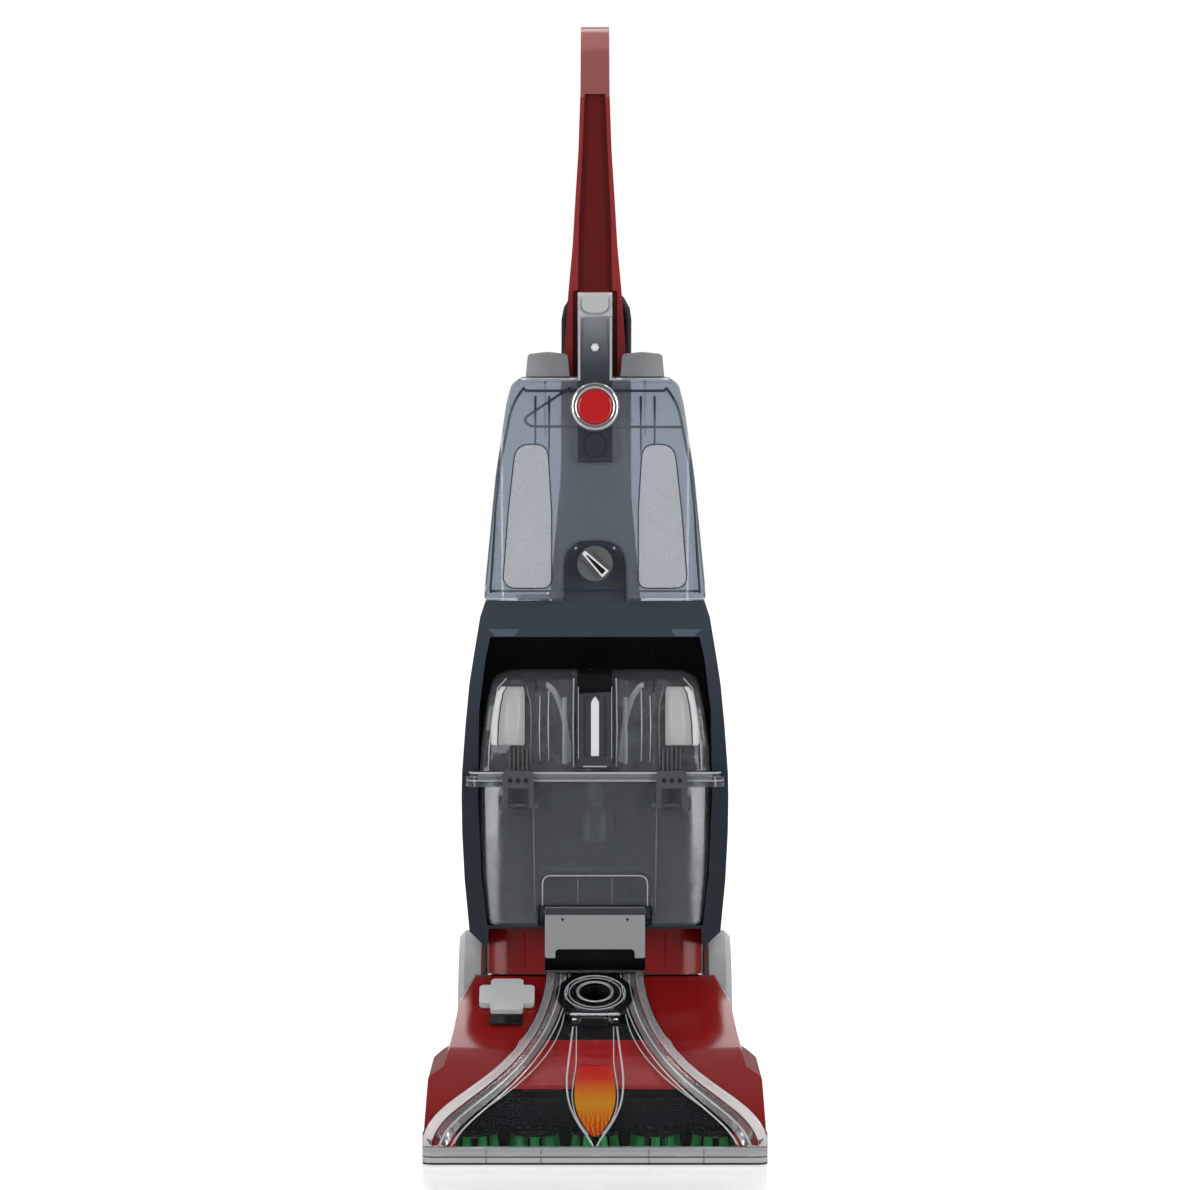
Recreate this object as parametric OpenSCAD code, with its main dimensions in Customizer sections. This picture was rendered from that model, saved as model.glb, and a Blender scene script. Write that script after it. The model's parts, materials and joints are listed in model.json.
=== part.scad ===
// Upright carpet cleaner with a reclining body, two lift-off tanks and five geared brushes.
// Frame: origin on the floor under the middle of the machine, +X to the right seen from the
// front, +Y to the rear, +Z up. The front faces -Y. All sizes are in millimetres.

/* [Base] */
// Depth from the nozzle lip to the rear of the wheels
base_depth = 420; // [414:1:430]
// Width across the nozzle lip
lip_w = 340; // [336:1:348]
// Height of the nozzle lip
lip_h = 17; // [15:0.5:18]
// Thickness of the nozzle lip, front to back
lip_t = 9; // [8:0.5:10]
// Wall of the red hood
hood_wall = 3; // [2.5:0.1:3.5]
// Wall of the clear nozzle cover
cover_wall = 3; // [2.5:0.1:3.5]
// Height of the suction channel under the nozzle cover
channel_h = 11; // [9:0.5:12]
// Width of the round rear housing between the wheels
drum_w = 190; // [186:1:194]
// Radius of the round rear housing
drum_r = 64; // [62:0.5:65]
// Height of the base pan above the floor
floor_gap = 12; // [11:0.5:13]
// Slope of the deck that carries the pedal and the hose port
deck_tilt = 27; // [26:0.5:28]
// Radius of the hose port's bore
port_r = 18; // [16:0.5:20]
// Width of the power pedal across its arms
pedal_w = 56; // [52:1:60]
// Travel of the power pedal
pedal_travel = 4; // [3:0.5:4.5]

/* [Wheels] */
// Radius of the wheels
wheel_r = 98; // [96:0.5:100]
// Width of a wheel
wheel_w = 28.5; // [26:0.5:31]
// Radius of the wheel axle
axle_r = 5; // [4:0.5:6]
// Number of spokes
spokes = 10; // [8:1:12]

/* [Brushes] */
// Distance between neighbouring brushes
brush_pitch = 60; // [59:0.5:60.5]
// Teeth on each brush gear
gear_teeth = 20; // [20:2:24]
// Height of a brush gear
gear_h = 6; // [5:0.5:6.5]
// Radius of the brush pins
pin_r = 3; // [2.5:0.5:3.5]
// Radius of the ring of bristle tufts
tuft_ring_r = 20; // [18:0.5:21]
// Thickness of one bristle strand
strand_d = 1.6; // [1.2:0.1:1.8]
// Radius of the pulley on the driven brush
pulley_r = 14; // [12:0.5:15]
// Radius of the motor pulley
motor_pulley_r = 8; // [7:0.5:9]
// Thickness of the belt
belt_t = 2.4; // [2:0.1:3]

/* [Body] */
// Greatest width of the upright body
body_w = 272; // [268:1:276]
// Wall of the upright body
body_wall = 3; // [2.5:0.1:3.5]
// Width of the rails beside the recovery tank
rail_w = 16.5; // [15:0.5:17]
// Height of the deck under the solution tank
deck_top = 549; // [546:1:552]
// Distance from the red foot to the round rear housing
foot_gap = 3; // [2.5:0.1:4]
// Thickness of the arms that hold the axle
arm_t = 10; // [9:0.5:11]
// Width of the release paddle
paddle_w = 103; // [99:1:105]

/* [Recovery tank] */
// Wall of the recovery tank
tank_wall = 2.5; // [2:0.1:3]
// Height of the recovery tank's flange
flange_z = 360; // [357:1:362]
// Height of the lid's crown
lid_top = 478; // [472:1:480]
// Width of the recovery tank's handle
bail_w = 35.4; // [33:0.5:38]

/* [Solution tank] */
// Wall of the solution tank
clean_wall = 2.5; // [2:0.1:3]
// Height of the solution tank's flat top
clean_top = 777; // [772:1:780]
// Top of the carry handle
carry_top = 863; // [858:1:866]
// Width of the carry handle
carry_w = 35; // [32:1:37]
// Radius of the round badge
badge_r = 24.8; // [23:0.2:26]
// Radius of the selector knob
knob_r = 18; // [16:0.5:19]

/* [Handle] */
// Height of the grip's crown above the floor
overall_h = 1145; // [1135:1:1160]
// Half width of the handle at its foot
spine_foot_w = 32.2; // [31:0.2:33]
// Half width of the handle at the crown
spine_top_w = 14.7; // [14:0.1:16]
/* [Cord] */
// Diameter of the power cord
cord_d = 7.5; // [7:0.1:7.6]
// Distance between the two cord hooks' centres
hank_run = 246; // [240:1:250]

/* [Fits] */
// Gap between parts that do not move on each other
seam = 0.3; // [0.2:0.05:0.4]
// Gap round parts that lift, slide or swing
lift_gap = 1.2; // [1:0.1:1.5]
// Radial clearance of a shaft in its bore
run_gap = 0.05; // [0.03:0.01:0.08]

/* [Hidden] */
$fn = 48;
far = 1500;
front_y = -base_depth / 2;
axle_y = base_depth / 2 - wheel_r;
axle_z = wheel_r;
arm_gap = 3;
wheel_gap = 5.5;
wheel_x = drum_w / 2 + arm_gap + arm_t + wheel_gap;
axle_end = wheel_x + wheel_w + 4;
deck_z = axle_z + drum_r;
deck_y = axle_y - 130;
// Rear wall of the wide front half of the base, just ahead of the wheels
waist_y = axle_y - wheel_r - 6;

// ---- Outlines ----
function unit(v) = v / norm(v);
function side(a, b) = a.x * b.y - a.y * b.x;
function polar(r, a) = r * [cos(a), sin(a)];
function arc(c, r, a0, a1, n = 8) = [for (i = [0:n]) c + polar(r, a0 + (a1 - a0) * i / n)];
function bezier(a, b, c, d, n = 12) = [for (i = [0:n]) let (t = i / n, u = 1 - t)
    u * u * u * a + 3 * u * u * t * b + 3 * u * t * t * c + t * t * t * d];
function backward(p) = [for (i = [len(p) - 1:-1:0]) p[i]];
function flip(q) = len(q) > 2 ? [-q.x, q.y, q[2]] : [-q.x, q.y];
// A closed outline from its right half, listed from low to high
function both_sides(half) = concat(half, [for (q = backward(half)) flip(q)]);
// An open curve moved d to its left
function shifted(p, d) = [for (i = [0:len(p) - 1])
    let (t = unit(p[min(i + 1, len(p) - 1)] - p[max(i - 1, 0)])) p[i] + d * [-t.y, t.x]];
function xy(q) = [q.x, q.y];
// A closed anticlockwise outline of [x, y] or [x, y, corner radius] grown by d
function grown(p, d) = let (n = len(p)) [for (i = [0:n - 1])
    let (b = xy(p[i]), u = unit(b - xy(p[(i + n - 1) % n])), v = unit(xy(p[(i + 1) % n]) - b),
        m = [u.y + v.y, -u.x - v.x] / (1 + u * v), q = b + d * m, r = p[i][2])
    r == undef ? q : [q.x, q.y, max(0, r + d * sign(side(u, v)))]];
// A closed outline whose corners [x, y, r] are rounded
function rounded(p, k = 5) = let (n = len(p)) [for (i = [0:n - 1])
    let (b = xy(p[i]), u = unit(xy(p[(i + n - 1) % n]) - b), v = unit(xy(p[(i + 1) % n]) - b),
        r = p[i][2], half = acos(u * v) / 2)
    each r == undef || r == 0 ? [b] :
        let (m = b + unit(u + v) * r / sin(half), s = b + u * r / tan(half) - m,
            e = b + v * r / tan(half) - m, a = atan2(s.y, s.x), w = atan2(side(s, e), s * e))
        [for (j = [0:k]) m + polar(r, a + w * j / k)]];

// A side outline of [y, z] points from x0 to x1
module slab_x(p, x0, x1) translate([x0, 0, 0]) rotate([90, 0, 90]) linear_extrude(x1 - x0) polygon(p);
// A front outline of [x, z] points from y0 to y1
module slab_y(p, y0, y1) translate([0, y1, 0]) rotate([90, 0, 0]) linear_extrude(y1 - y0) polygon(p);
// A plan outline of [x, y] points from z0 to z1
module slab_z(p, z0, z1) translate([0, 0, z0]) linear_extrude(z1 - z0) polygon(p);
// A cylinder along X, Y or Z between two places
module rod_x(r, x0, x1, y, z, fn = 48) translate([x0, y, z]) rotate([0, 90, 0]) cylinder(r = r,
    h = x1 - x0, $fn = fn);
module rod_y(r, y0, y1, x, z, fn = 48) translate([x, y1, z]) rotate([90, 0, 0]) cylinder(r = r,
    h = y1 - y0, $fn = fn);
module rod_z(r, z0, z1, x, y, fn = 48) translate([x, y, z0]) cylinder(r = r, h = z1 - z0, $fn = fn);
module block(a, b) translate(a) cube(b - a);
module both() {
    children();
    mirror([1, 0, 0]) children();
}

// ---- Base: outer forms ----
// The nose is the curve of the nozzle cover from its lip up to the deck
nose = bezier([front_y, lip_h + 1], [front_y + 10, lip_h + 39], [deck_y - 92, deck_z - 34], [deck_y,
    deck_z + 4]);
hood_level = cover_wall;
floor_level = cover_wall + channel_h;
hood_low = floor_gap + 2;
// Right half of the bell-shaped plan of the nozzle cover, from the lip to the port
bell_half = backward(bezier([50, deck_y - 2], [52, front_y + 45], [lip_w / 2 - 25, front_y + 42],
    [lip_w / 2 - 0.5, front_y + 4], 14));
function bell(d) = grown(both_sides(concat([[lip_w / 2 - 0.5, front_y - 20]], bell_half)), d);
function under_nose(level, low) = let (c = shifted(nose, -level))
    concat([[c[0].x, low]], [[waist_y + 40, low], [waist_y + 40, c[len(c) - 1].y]], backward(c));
function hood_side(d) = let (c = shifted(nose, -hood_level - d))
    concat([[c[0].x, hood_low - 3 * d], [waist_y - d, hood_low - 3 * d], [waist_y - d, deck_z - d]],
        backward(c));
function hood_front(low) = both_sides([[lip_w / 2 - 4, low], [lip_w / 2 - 1, hood_low + 8], [lip_w / 2 - 2,
    42],
    [lip_w / 2 - 4, 79, 5], [lip_w / 2 - 19, 88, 4], [lip_w / 2 - 25, 106, 10],
    [lip_w / 2 - 32, 140, 8], [lip_w / 2 - 52, deck_z + 8, 6]]);
hood_plan = both_sides([[lip_w / 2, front_y], [lip_w / 2, waist_y - 34, 20], [lip_w / 2 - 14, waist_y + 1,
    8]]);

module hood_front_form(d) intersection() {
    slab_x(hood_side(d), -lip_w, lip_w);
    slab_y(rounded(grown(hood_front(hood_low - 3 * d), -d)), front_y - 5, waist_y + 5);
    slab_z(rounded(grown(hood_plan, -d)), 0, deck_z + 20);
}
module hood_rear_form(d) slab_x(concat([[waist_y - 24, axle_z - d], [axle_y, axle_z - d]],
    arc([axle_y, axle_z], drum_r - d, 0, 90, 12), [[waist_y - 24, deck_z - d]]), d - drum_w / 2,
        drum_w / 2 - d);

// The sloping deck's own frame at a place across the hood, z along the deck's normal
function nose_at(y) = lookup(y, [for (q = nose) [q.x, q.y]]);
port_y = deck_y - 38;
port_rim = 39.6;
collar_top = 1.5;
door_r = 31.3;
door_t = 5.2;
door_sink = 2.2;
hinge_y = -port_rim + 0.5;
hinge_z = 3;
module at_deck(x, y) translate([x, y, nose_at(y)]) rotate([deck_tilt, 0, 0]) children();
pedal_x = -89.5;
pedal_y = deck_y - 40;
arm_half = pedal_w * 0.295;
pedal_proud = 3;
pedal_deep = 7;
pocket_deep = pedal_deep + pedal_travel + 1;
module plus(d, z0, z1) translate([0, 0, z0]) linear_extrude(z1 - z0) union() {
    polygon(rounded(grown([[-pedal_w / 2, -arm_half, 5], [pedal_w / 2, -arm_half, 5], [pedal_w / 2,
        arm_half, 5],
        [-pedal_w / 2, arm_half, 5]], d)));
    polygon(rounded(grown([[-arm_half, -pedal_w / 2, 5], [arm_half, -pedal_w / 2, 5], [arm_half,
        pedal_w / 2, 5],
        [-arm_half, pedal_w / 2, 5]], d)));
}
stem_r = 6;
brush_y = front_y + 60;
gear_z = 27;
function brush_x(i) = (i - 3) * brush_pitch;

// ---- Base: housings ----
module base_hood() color([0.62, 0.05, 0.07]) difference() {
    union() {
        difference() {
            union() {
                hood_front_form(0);
                hood_rear_form(0);
            }
            difference() {
                hood_front_form(hood_wall);
                intersection() {
                    slab_z(bell(seam + hood_wall), 0, deck_z + 20);
                    block([-far, front_y - 30, 0], [far, deck_y + 3, deck_z + 20]);
                    difference() {
                        slab_x(under_nose(0, 0), -lip_w, lip_w);
                        slab_x(under_nose(floor_level + hood_wall, -5), -far, far);
                    }
                }
            }
            hood_rear_form(hood_wall);
            // Recess under the clear cover
            intersection() {
                slab_z(bell(seam), 0, deck_z + 20);
                slab_x(concat(shifted(nose, -floor_level), [[deck_y + 3, deck_z + 40], [front_y - 30,
                    deck_z + 40],
                    [front_y - 30, 0]]), -far, far);
            }
        }
        at_deck(0, port_y) rod_z(port_rim, -floor_level - hood_wall, collar_top, 0, 0, 64);
        at_deck(pedal_x, pedal_y) plus(2.6, -pocket_deep - 3, -hood_level + 0.5);
    }
    slab_z(rounded(grown(lip_plan, seam)), -5, lip_h + seam);
    // Opening over the brushes
    intersection() {
        slab_z(bell(seam), 0, deck_z + 20);
        block([-137.3, front_y - 30, -5], [137.3, brush_y, deck_z]);
    }
    for (i = [1, 5]) rod_z(gear_reach + 4, -5, roof_z + 2, brush_x(i), brush_y);
    at_deck(0, port_y) {
        rod_z(door_r + 0.5, -door_sink - seam, 10, 0, 0, 64);
        rod_z(port_r, -60, 10, 0, 0, 64);
        block([-12.8, -port_rim - 6, hinge_z - 4.2], [12.8, -door_r + 6, 10]);
    }
    at_deck(pedal_x, pedal_y) {
        plus(0.7, -pocket_deep, 20);
        rod_z(stem_r + 0.4, -60, 0, 0, 0);
    }
    // Passage to the rear housing, and notches over the axle bosses
    block([-drum_w / 2 - seam, waist_y - 8, -5], [drum_w / 2 + seam, waist_y + 8, axle_z + seam / 2]);
    rod_x(boss_r + seam, -far, far, axle_y, axle_z);
    block([-far, waist_y + 8, -5], [far, far, axle_z + seam / 2]);
}

boss_r = 14;
pan_half = lip_w / 2 - 12;
module pan_form(d) slab_x(concat([[waist_y - 4, floor_gap + d], [waist_y + 32, floor_gap + d]],
    arc([axle_y, axle_z], drum_r - d, -75, 0, 10), [[waist_y - 4, axle_z + d]]), d - drum_w / 2,
        drum_w / 2 - d);
module base_pan() color([0.08, 0.08, 0.09]) difference() {
    union() {
        difference() {
            union() {
                pan_form(0);
                both() rod_x(boss_r, drum_w / 2 - 10, drum_w / 2, axle_y, axle_z);
            }
            difference() {
                pan_form(hood_wall);
                both() rod_x(boss_r, drum_w / 2 - 10, drum_w / 2, axle_y, axle_z);
            }
            both() block([0, waist_y - 8, axle_z - seam / 2], [drum_w / 2 + 5, axle_y - boss_r, axle_z + 20]);
            both() block([0, axle_y + boss_r, axle_z - seam / 2], [drum_w / 2 + 5, far, axle_z + 20]);
        }
        // Front tray
        slab_z(rounded(both_sides([[pan_half, brush_y + spray_back + 4, 6], [pan_half, waist_y - 4, 14]])),
            floor_gap, floor_gap + 3);
        for (x = [-pan_half * 0.72, pan_half * 0.72]) rod_z(7, floor_gap, deck_z * 0.45, x, brush_y + 62, 24);
        intersection() {
            for (a = [45:90:315]) rod_z(4, 0, motor_z - seam, motor_x + 36 * cos(a), motor_y + 36 * sin(a),
                16);
            pan_form(hood_wall / 2);
        }
        // Ears of the recline pedal
        for (x = [lever_x - lever_w / 2 - 5, lever_x + lever_w / 2 + 1]) slab_x(rounded([[axle_y + 44,
            lever_z - 14],
            [lever_y + 5, lever_z - 8, 5], [lever_y + 5, lever_z + 6, 5], [axle_y + 50, lever_z + 8]]), x,
                x + 4);
        rod_x(2.5, lever_x - lever_w / 2 - 3, lever_x + lever_w / 2 + 3, lever_y, lever_z);
    }
    rod_x(axle_r + run_gap, -far, far, axle_y, axle_z);
    for (i = [-2:2]) block([i * 22 - 7, waist_y + 2, -5], [i * 22 + 7, waist_y + 26, floor_gap + 8]);
}

module nose_band(a, b) difference() {
    slab_x(under_nose(a, 0), -lip_w, lip_w);
    slab_x(under_nose(b, -5), -far, far);
}
module nozzle_cover() color([0.85, 0.88, 0.9, 0.35]) difference() {
    union() {
        intersection() {
            nose_band(0, cover_wall);
            slab_z(bell(0), lip_h + seam, deck_z + 20);
        }
        intersection() {
            nose_band(0, floor_level - seam);
            difference() {
                slab_z(bell(0), lip_h + seam, deck_z + 20);
                slab_z(bell(-3.5), 0, deck_z + 21);
            }
            block([-far, front_y, lip_h + seam], [far, deck_y, deck_z + 20]);
        }
        // Bright rim round the bell
        intersection() {
            nose_band(-1.6, 1);
            difference() {
                slab_z(bell(0), lip_h + 6, deck_z + 20);
                slab_z(bell(-8.5), 0, deck_z + 21);
            }
        }
        // Fan ribs inside the rim
        intersection() {
            nose_band(-0.9, 1);
            for (d = [15, 22]) difference() {
                slab_z(bell(-d), lip_h + 14, nose_at(brush_y + 44));
                slab_z(bell(-d - 1.2), 0, deck_z + 21);
            }
        }
        // Raised spade down the middle
        intersection() {
            nose_band(-1.5, 1);
            slab_y(rounded(both_sides([[3, lip_h + 2, 2], [17, 34, 8], [26, 60, 14], [20,
                nose_at(port_y - 42), 3]])),
                front_y - 5, port_y);
        }
        at_deck(0, port_y) both() slab_x(rounded([[hinge_y - 4.6, hinge_z + 4.6, 4], [hinge_y - 9,
            -cover_wall - 1.5],
            [hinge_y + 3.6, -cover_wall - 1.5], [hinge_y + 4.6, hinge_z + 4.6, 4]]), 13.4, 24);
    }
    at_deck(0, port_y) {
        difference() {
            rod_z(port_rim + seam, -40, 12, 0, 0, 64);
            block([-30, -port_rim - 9, -3], [30, hinge_y + 4.6, 12]);
        }
        rod_x(1.5 + run_gap, -30, 30, hinge_y, hinge_z);
        rod_z(port_rim + seam, -40, collar_top + seam, 0, 0, 64);
    }
    block([-far, deck_y - 2, 0], [far, far, far]);
}
lip_plan = both_sides([[lip_w / 2, front_y, 10], [lip_w / 2, brush_y - 8, 3]]);
module nozzle_lip() color([0.2, 0.2, 0.22]) difference() {
    union() {
        slab_z(rounded(lip_plan), 0, lip_h);
        for (x = [-155, -86, 0, 86, 155]) rod_y(5, front_y, front_y + lip_t, x, lip_h / 2, 24);
    }
    slab_z(rounded(both_sides([[lip_w / 2 - lip_t + 2, front_y + lip_t, 6], [lip_w / 2 - lip_t + 2,
        brush_y + 5]])), -5, lip_h + 5);
    // Line between the lip's two bands
    difference() {
        block([-far, front_y - 5, lip_h * 0.5], [far, front_y + 1, lip_h * 0.5 + 1.2]);
        for (x = [-155, -86, 0, 86, 155]) rod_y(5, front_y - 9, front_y + lip_t, x, lip_h / 2, 24);
    }
    for (x = [-107, -53, 53, 107]) block([x - 0.7, front_y - 5, 2], [x + 0.7, front_y + 1, lip_h - 2]);
}

roof_z = gear_z + gear_h + 3;
gear_m = brush_pitch / gear_teeth;
gear_reach = brush_pitch / 2 + 0.8 * gear_m;
housing_roof = roof_z + 22;
housing_deep = 39;
housing_top = [for (q = shifted(nose,
    -floor_level - hood_wall - seam)) if (q.y > 16 && q.y < housing_roof) q];
module brush_housing() color([0.06, 0.06, 0.07]) difference() {
    union() {
        slab_x(concat([[front_y + 16, 14], [brush_y + housing_deep, 14], [brush_y + housing_deep,
            housing_roof],
            [housing_top[len(housing_top) - 1].x + 6, housing_roof]], backward(housing_top)), -136.7, 136.7);
        for (i = [1, 5]) rod_z(gear_reach + 3.2, 20, roof_z, brush_x(i), brush_y);
    }
    // Gear and brush chamber
    for (i = [1, 5]) rod_z(gear_reach + 0.8, 0, roof_z - 2.6, brush_x(i), brush_y);
    block([brush_x(1), brush_y - gear_reach - 0.8, 0], [brush_x(5), brush_y + gear_reach + 0.8,
        roof_z - 2.6]);
    block([-far, front_y, 0], [far, brush_y - gear_reach + 4, gear_z + 2]);
    // Room for the drive pulley, and slot for the belt
    rod_z(pulley_r + belt_t + 5, 0, roof_z + 18, 0, brush_y);
    block([-pulley_r - belt_t - 3, brush_y, belt_z - 2], [pulley_r + belt_t + 3, far, belt_z + 12]);
    for (i = [1, 2, 4, 5]) rod_z(pin_r, 0, roof_z - 1.2, brush_x(i), brush_y);
    rod_z(pin_r, 0, roof_z + 20, 0, brush_y);
}

// ---- Base: brush drive ----
function inv(a) = tan(a) * 180 / PI - a;
function gear_outline(n, rp, m, turn) = let (rb = rp * cos(20), half = 90 / n - 0.55,
    rs = [rp - m, rp - 0.4 * m, rp + 0.2 * m, rp + 0.8 * m])
    [for (k = [0:n - 1]) each concat(
        [for (r = rs) polar(r, turn + 360 * k / n - half - inv(20) + inv(acos(min(1, rb / r))))],
        [for (r = backward(rs)) polar(r, turn + 360 * k / n + half + inv(20) - inv(acos(min(1, rb / r))))])];
module brush_gear(i) color([0.75, 0.75, 0.72]) translate([brush_x(i), brush_y, 0]) difference() {
    slab_z(gear_outline(gear_teeth, brush_pitch / 2, gear_m, i % 2 == 0 ? 180 / gear_teeth : 0),
        gear_z, gear_z + gear_h);
    translate([0, 0, -5]) cylinder(r = pin_r + run_gap, h = 100);
}
strand_tilt = 14;
module brush_bristles(i) color([0.1, 0.62, 0.2]) translate([brush_x(i), brush_y, 0]) {
    difference() {
        translate([0, 0, gear_z - 5]) cylinder(r = tuft_ring_r + 4, h = 5);
        cylinder(r = pin_r + 4.4, h = 60);
    }
    for (k = [0:15]) rotate(k * 22.5 + (i % 2) * 11.25) for (s = [-1, 1], t = [0, 1])
        translate([tuft_ring_r - 1.8 + t * 3.4, s * 1.6, gear_z - 4]) rotate([s * -3,
            strand_tilt * (t - 0.25) + 180, 0])
            cylinder(d = strand_d, h = gear_z - 6, $fn = 4);
    for (k = [0:7]) rotate(k * 45) for (s = [-1, 1]) translate([12.5, s * 1.6, gear_z - 4])
        rotate([s * -3, 180, 0]) cylinder(d = strand_d, h = gear_z - 7, $fn = 4);
}
module brush_pins() color("silver") for (i = [1:5]) translate([brush_x(i), brush_y, 0]) {
    translate([0, 0, gear_z - 8]) cylinder(r = pin_r,
        h = (i == 3 ? roof_z + 20 : roof_z - 1.2) - gear_z + 8 - seam);
    translate([0, 0, gear_z - 9]) cylinder(r = pin_r + 3, h = 3);
}
belt_z = roof_z + 4;
belt_h = 8;
motor_x = 0;
motor_y = axle_y - 52;
motor_z = 58;
module drive_pulley() color([0.2, 0.2, 0.22]) translate([0, brush_y, 0]) difference() {
    union() {
        translate([0, 0, gear_z + gear_h]) cylinder(r = pin_r + 4, h = belt_z - gear_z - gear_h);
        translate([0, 0, belt_z - 1.5]) cylinder(r = pulley_r, h = belt_h + 2.5);
        translate([0, 0, belt_z - 1.5]) cylinder(r = pulley_r + 2, h = 1);
    }
    cylinder(r = pin_r + run_gap, h = 100);
}
function belt_path(d) = let (span = motor_y - brush_y, b = asin((pulley_r - motor_pulley_r) / span))
    concat(arc([0, brush_y], pulley_r + d, -180 + b, -b, 20), arc([0, motor_y], motor_pulley_r + d, -b,
        180 + b, 16));
module drive_belt() color([0.1, 0.1, 0.1]) difference() {
    slab_z(belt_path(seam + belt_t), belt_z, belt_z + belt_h);
    slab_z(belt_path(seam), belt_z - 1, belt_z + belt_h + 1);
}

// ---- Base: motor, pump and switch ----
shaft_r = 4;
can_r = 42;
fan_z = 112;
module suction_motor() color([0.45, 0.46, 0.48]) difference() {
    union() {
        rod_z(can_r, motor_z, fan_z - 4, motor_x, motor_y);
        rod_z(can_r + 3, motor_z + 8, motor_z + 14, motor_x, motor_y);
        rod_z(12, motor_z - 4, motor_z + 1, motor_x, motor_y);
    }
    rod_z(shaft_r + run_gap, 0, 200, motor_x, motor_y);
    for (k = [0:11]) translate([motor_x, motor_y, motor_z + 22]) rotate(k * 30) translate([can_r - 2, -3,
        0]) cube([6, 6, 18]);
}
module motor_shaft() color("silver") {
    rod_z(shaft_r, belt_z - 3, fan_z + 36, motor_x, motor_y);
    rod_z(motor_pulley_r, belt_z - 1, belt_z + belt_h + 1, motor_x, motor_y);
}
fan_r = 48;
module fan_wheel() color([0.75, 0.75, 0.78]) translate([motor_x, motor_y, fan_z]) difference() {
    union() {
        translate([0, 0, 4]) cylinder(r = fan_r, h = 1.5);
        translate([0, 0, 20]) cylinder(r = fan_r, h = 1.5);
        translate([0, 0, 4]) cylinder(r = 9, h = 22);
        for (k = [0:8]) rotate(k * 40) translate([0, 0, 4.7]) linear_extrude(16)
            polygon([[19, 6], [34, 2], [46, -9], [46.8, -7.4], [34.6, 4], [19.6, 7.8]]);
    }
    translate([0, 0, -5]) cylinder(r = shaft_r + seam, h = 60);
    translate([0, 0, -5]) cylinder(r = fan_r + 5, h = 9);
    difference() {
        translate([0, 0, 19]) cylinder(r = 18, h = 10);
        translate([0, 0, 18]) cylinder(r = 9, h = 12);
    }
}
module fan_housing() color([0.16, 0.16, 0.18]) translate([motor_x, motor_y, fan_z]) difference() {
    union() {
        translate([0, 0, -4 + seam]) cylinder(r = fan_r + 8, h = 46);
        block([0, -fan_r - 8, 4], [fan_r + 26, -fan_r + 22, 34]);
    }
    cylinder(r = fan_r + 4, h = 30);
    translate([0, 0, -10]) cylinder(r = shaft_r + 2, h = 20);
    translate([0, 0, 20]) cylinder(r = 17, h = 40);
    block([0, -fan_r - 4, 7], [fan_r + 40, -fan_r + 19, 31]);
}
module solution_pump() color([0.2, 0.22, 0.3]) {
    rod_x(17, -74, -34, deck_y - 12, floor_gap + 3 + seam + 18);
    block([-66, deck_y - 26, floor_gap + 3 + seam], [-42, deck_y + 2, floor_gap + 24]);
    rod_x(5, -34, -22, deck_y - 12, floor_gap + 3 + seam + 18, 24);
}
spray_back = gear_reach + 12;
module spray_bar() color([0.3, 0.3, 0.33]) translate([0, brush_y + spray_back, 0]) {
    rod_x(3.5, -120, 120, 0, 26, 24);
    for (x = [-110, -40, 40, 110]) {
        rod_z(3, floor_gap + 2, 26, x, 0, 16);
        block([x + 5, housing_deep - spray_back + seam, 22], [x + 11, 2, 30]);
    }
}
module power_switch() color([0.1, 0.1, 0.1]) at_deck(pedal_x, pedal_y) translate([0, 0,
    -pocket_deep - 3 - seam]) {
    block([-12, -9, -28], [12, 9, -12]);
    for (s = [-1, 1]) block([s * 10.5 - 1.5, -7, -13], [s * 10.5 + 1.5, 7, 0]);
}
module power_pedal() color([0.75, 0.76, 0.77]) at_deck(pedal_x, pedal_y) {
    plus(0, -pedal_deep, pedal_proud);
    rod_z(stem_r, -pocket_deep - 3 - 6, 0, 0, 0);
}

lever_x = -66;
lever_w = 40;
lever_y = axle_y + 63;
lever_z = 62;
module recline_pedal() color([0.12, 0.12, 0.13]) difference() {
    union() {
        rod_x(6, lever_x - lever_w / 2, lever_x + lever_w / 2, lever_y, lever_z);
        slab_x(rounded([[lever_y, lever_z - 5], [lever_y + 33, lever_z - 1, 3], [lever_y + 34, lever_z + 6,
            3],
            [lever_y, lever_z + 5.5]]), lever_x - lever_w / 2, lever_x + lever_w / 2);
    }
    rod_x(2.5 + run_gap, -far, far, lever_y, lever_z);
}
module port_door() color([0.7, 0.72, 0.74, 0.5]) at_deck(0, port_y) difference() {
    union() {
        rod_z(door_r, -door_sink, door_t - door_sink, 0, 0, 64);
        rod_z(door_r - 12.6, 0, door_t - door_sink + 1.2, 0, 0, 64);
        block([-12, hinge_y, hinge_z - 2.6], [12, -door_r + 6, door_t - door_sink]);
        rod_x(3.4, -12, 12, hinge_y, hinge_z);
    }
    rod_x(1.5 + run_gap, -40, 40, hinge_y, hinge_z);
    rod_z(door_r - 15, 1.5, 20, 0, 0, 64);
}
module port_hinge_pin() color("silver") at_deck(0, port_y) rod_x(1.5, -25, 25, hinge_y, hinge_z);

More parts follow.
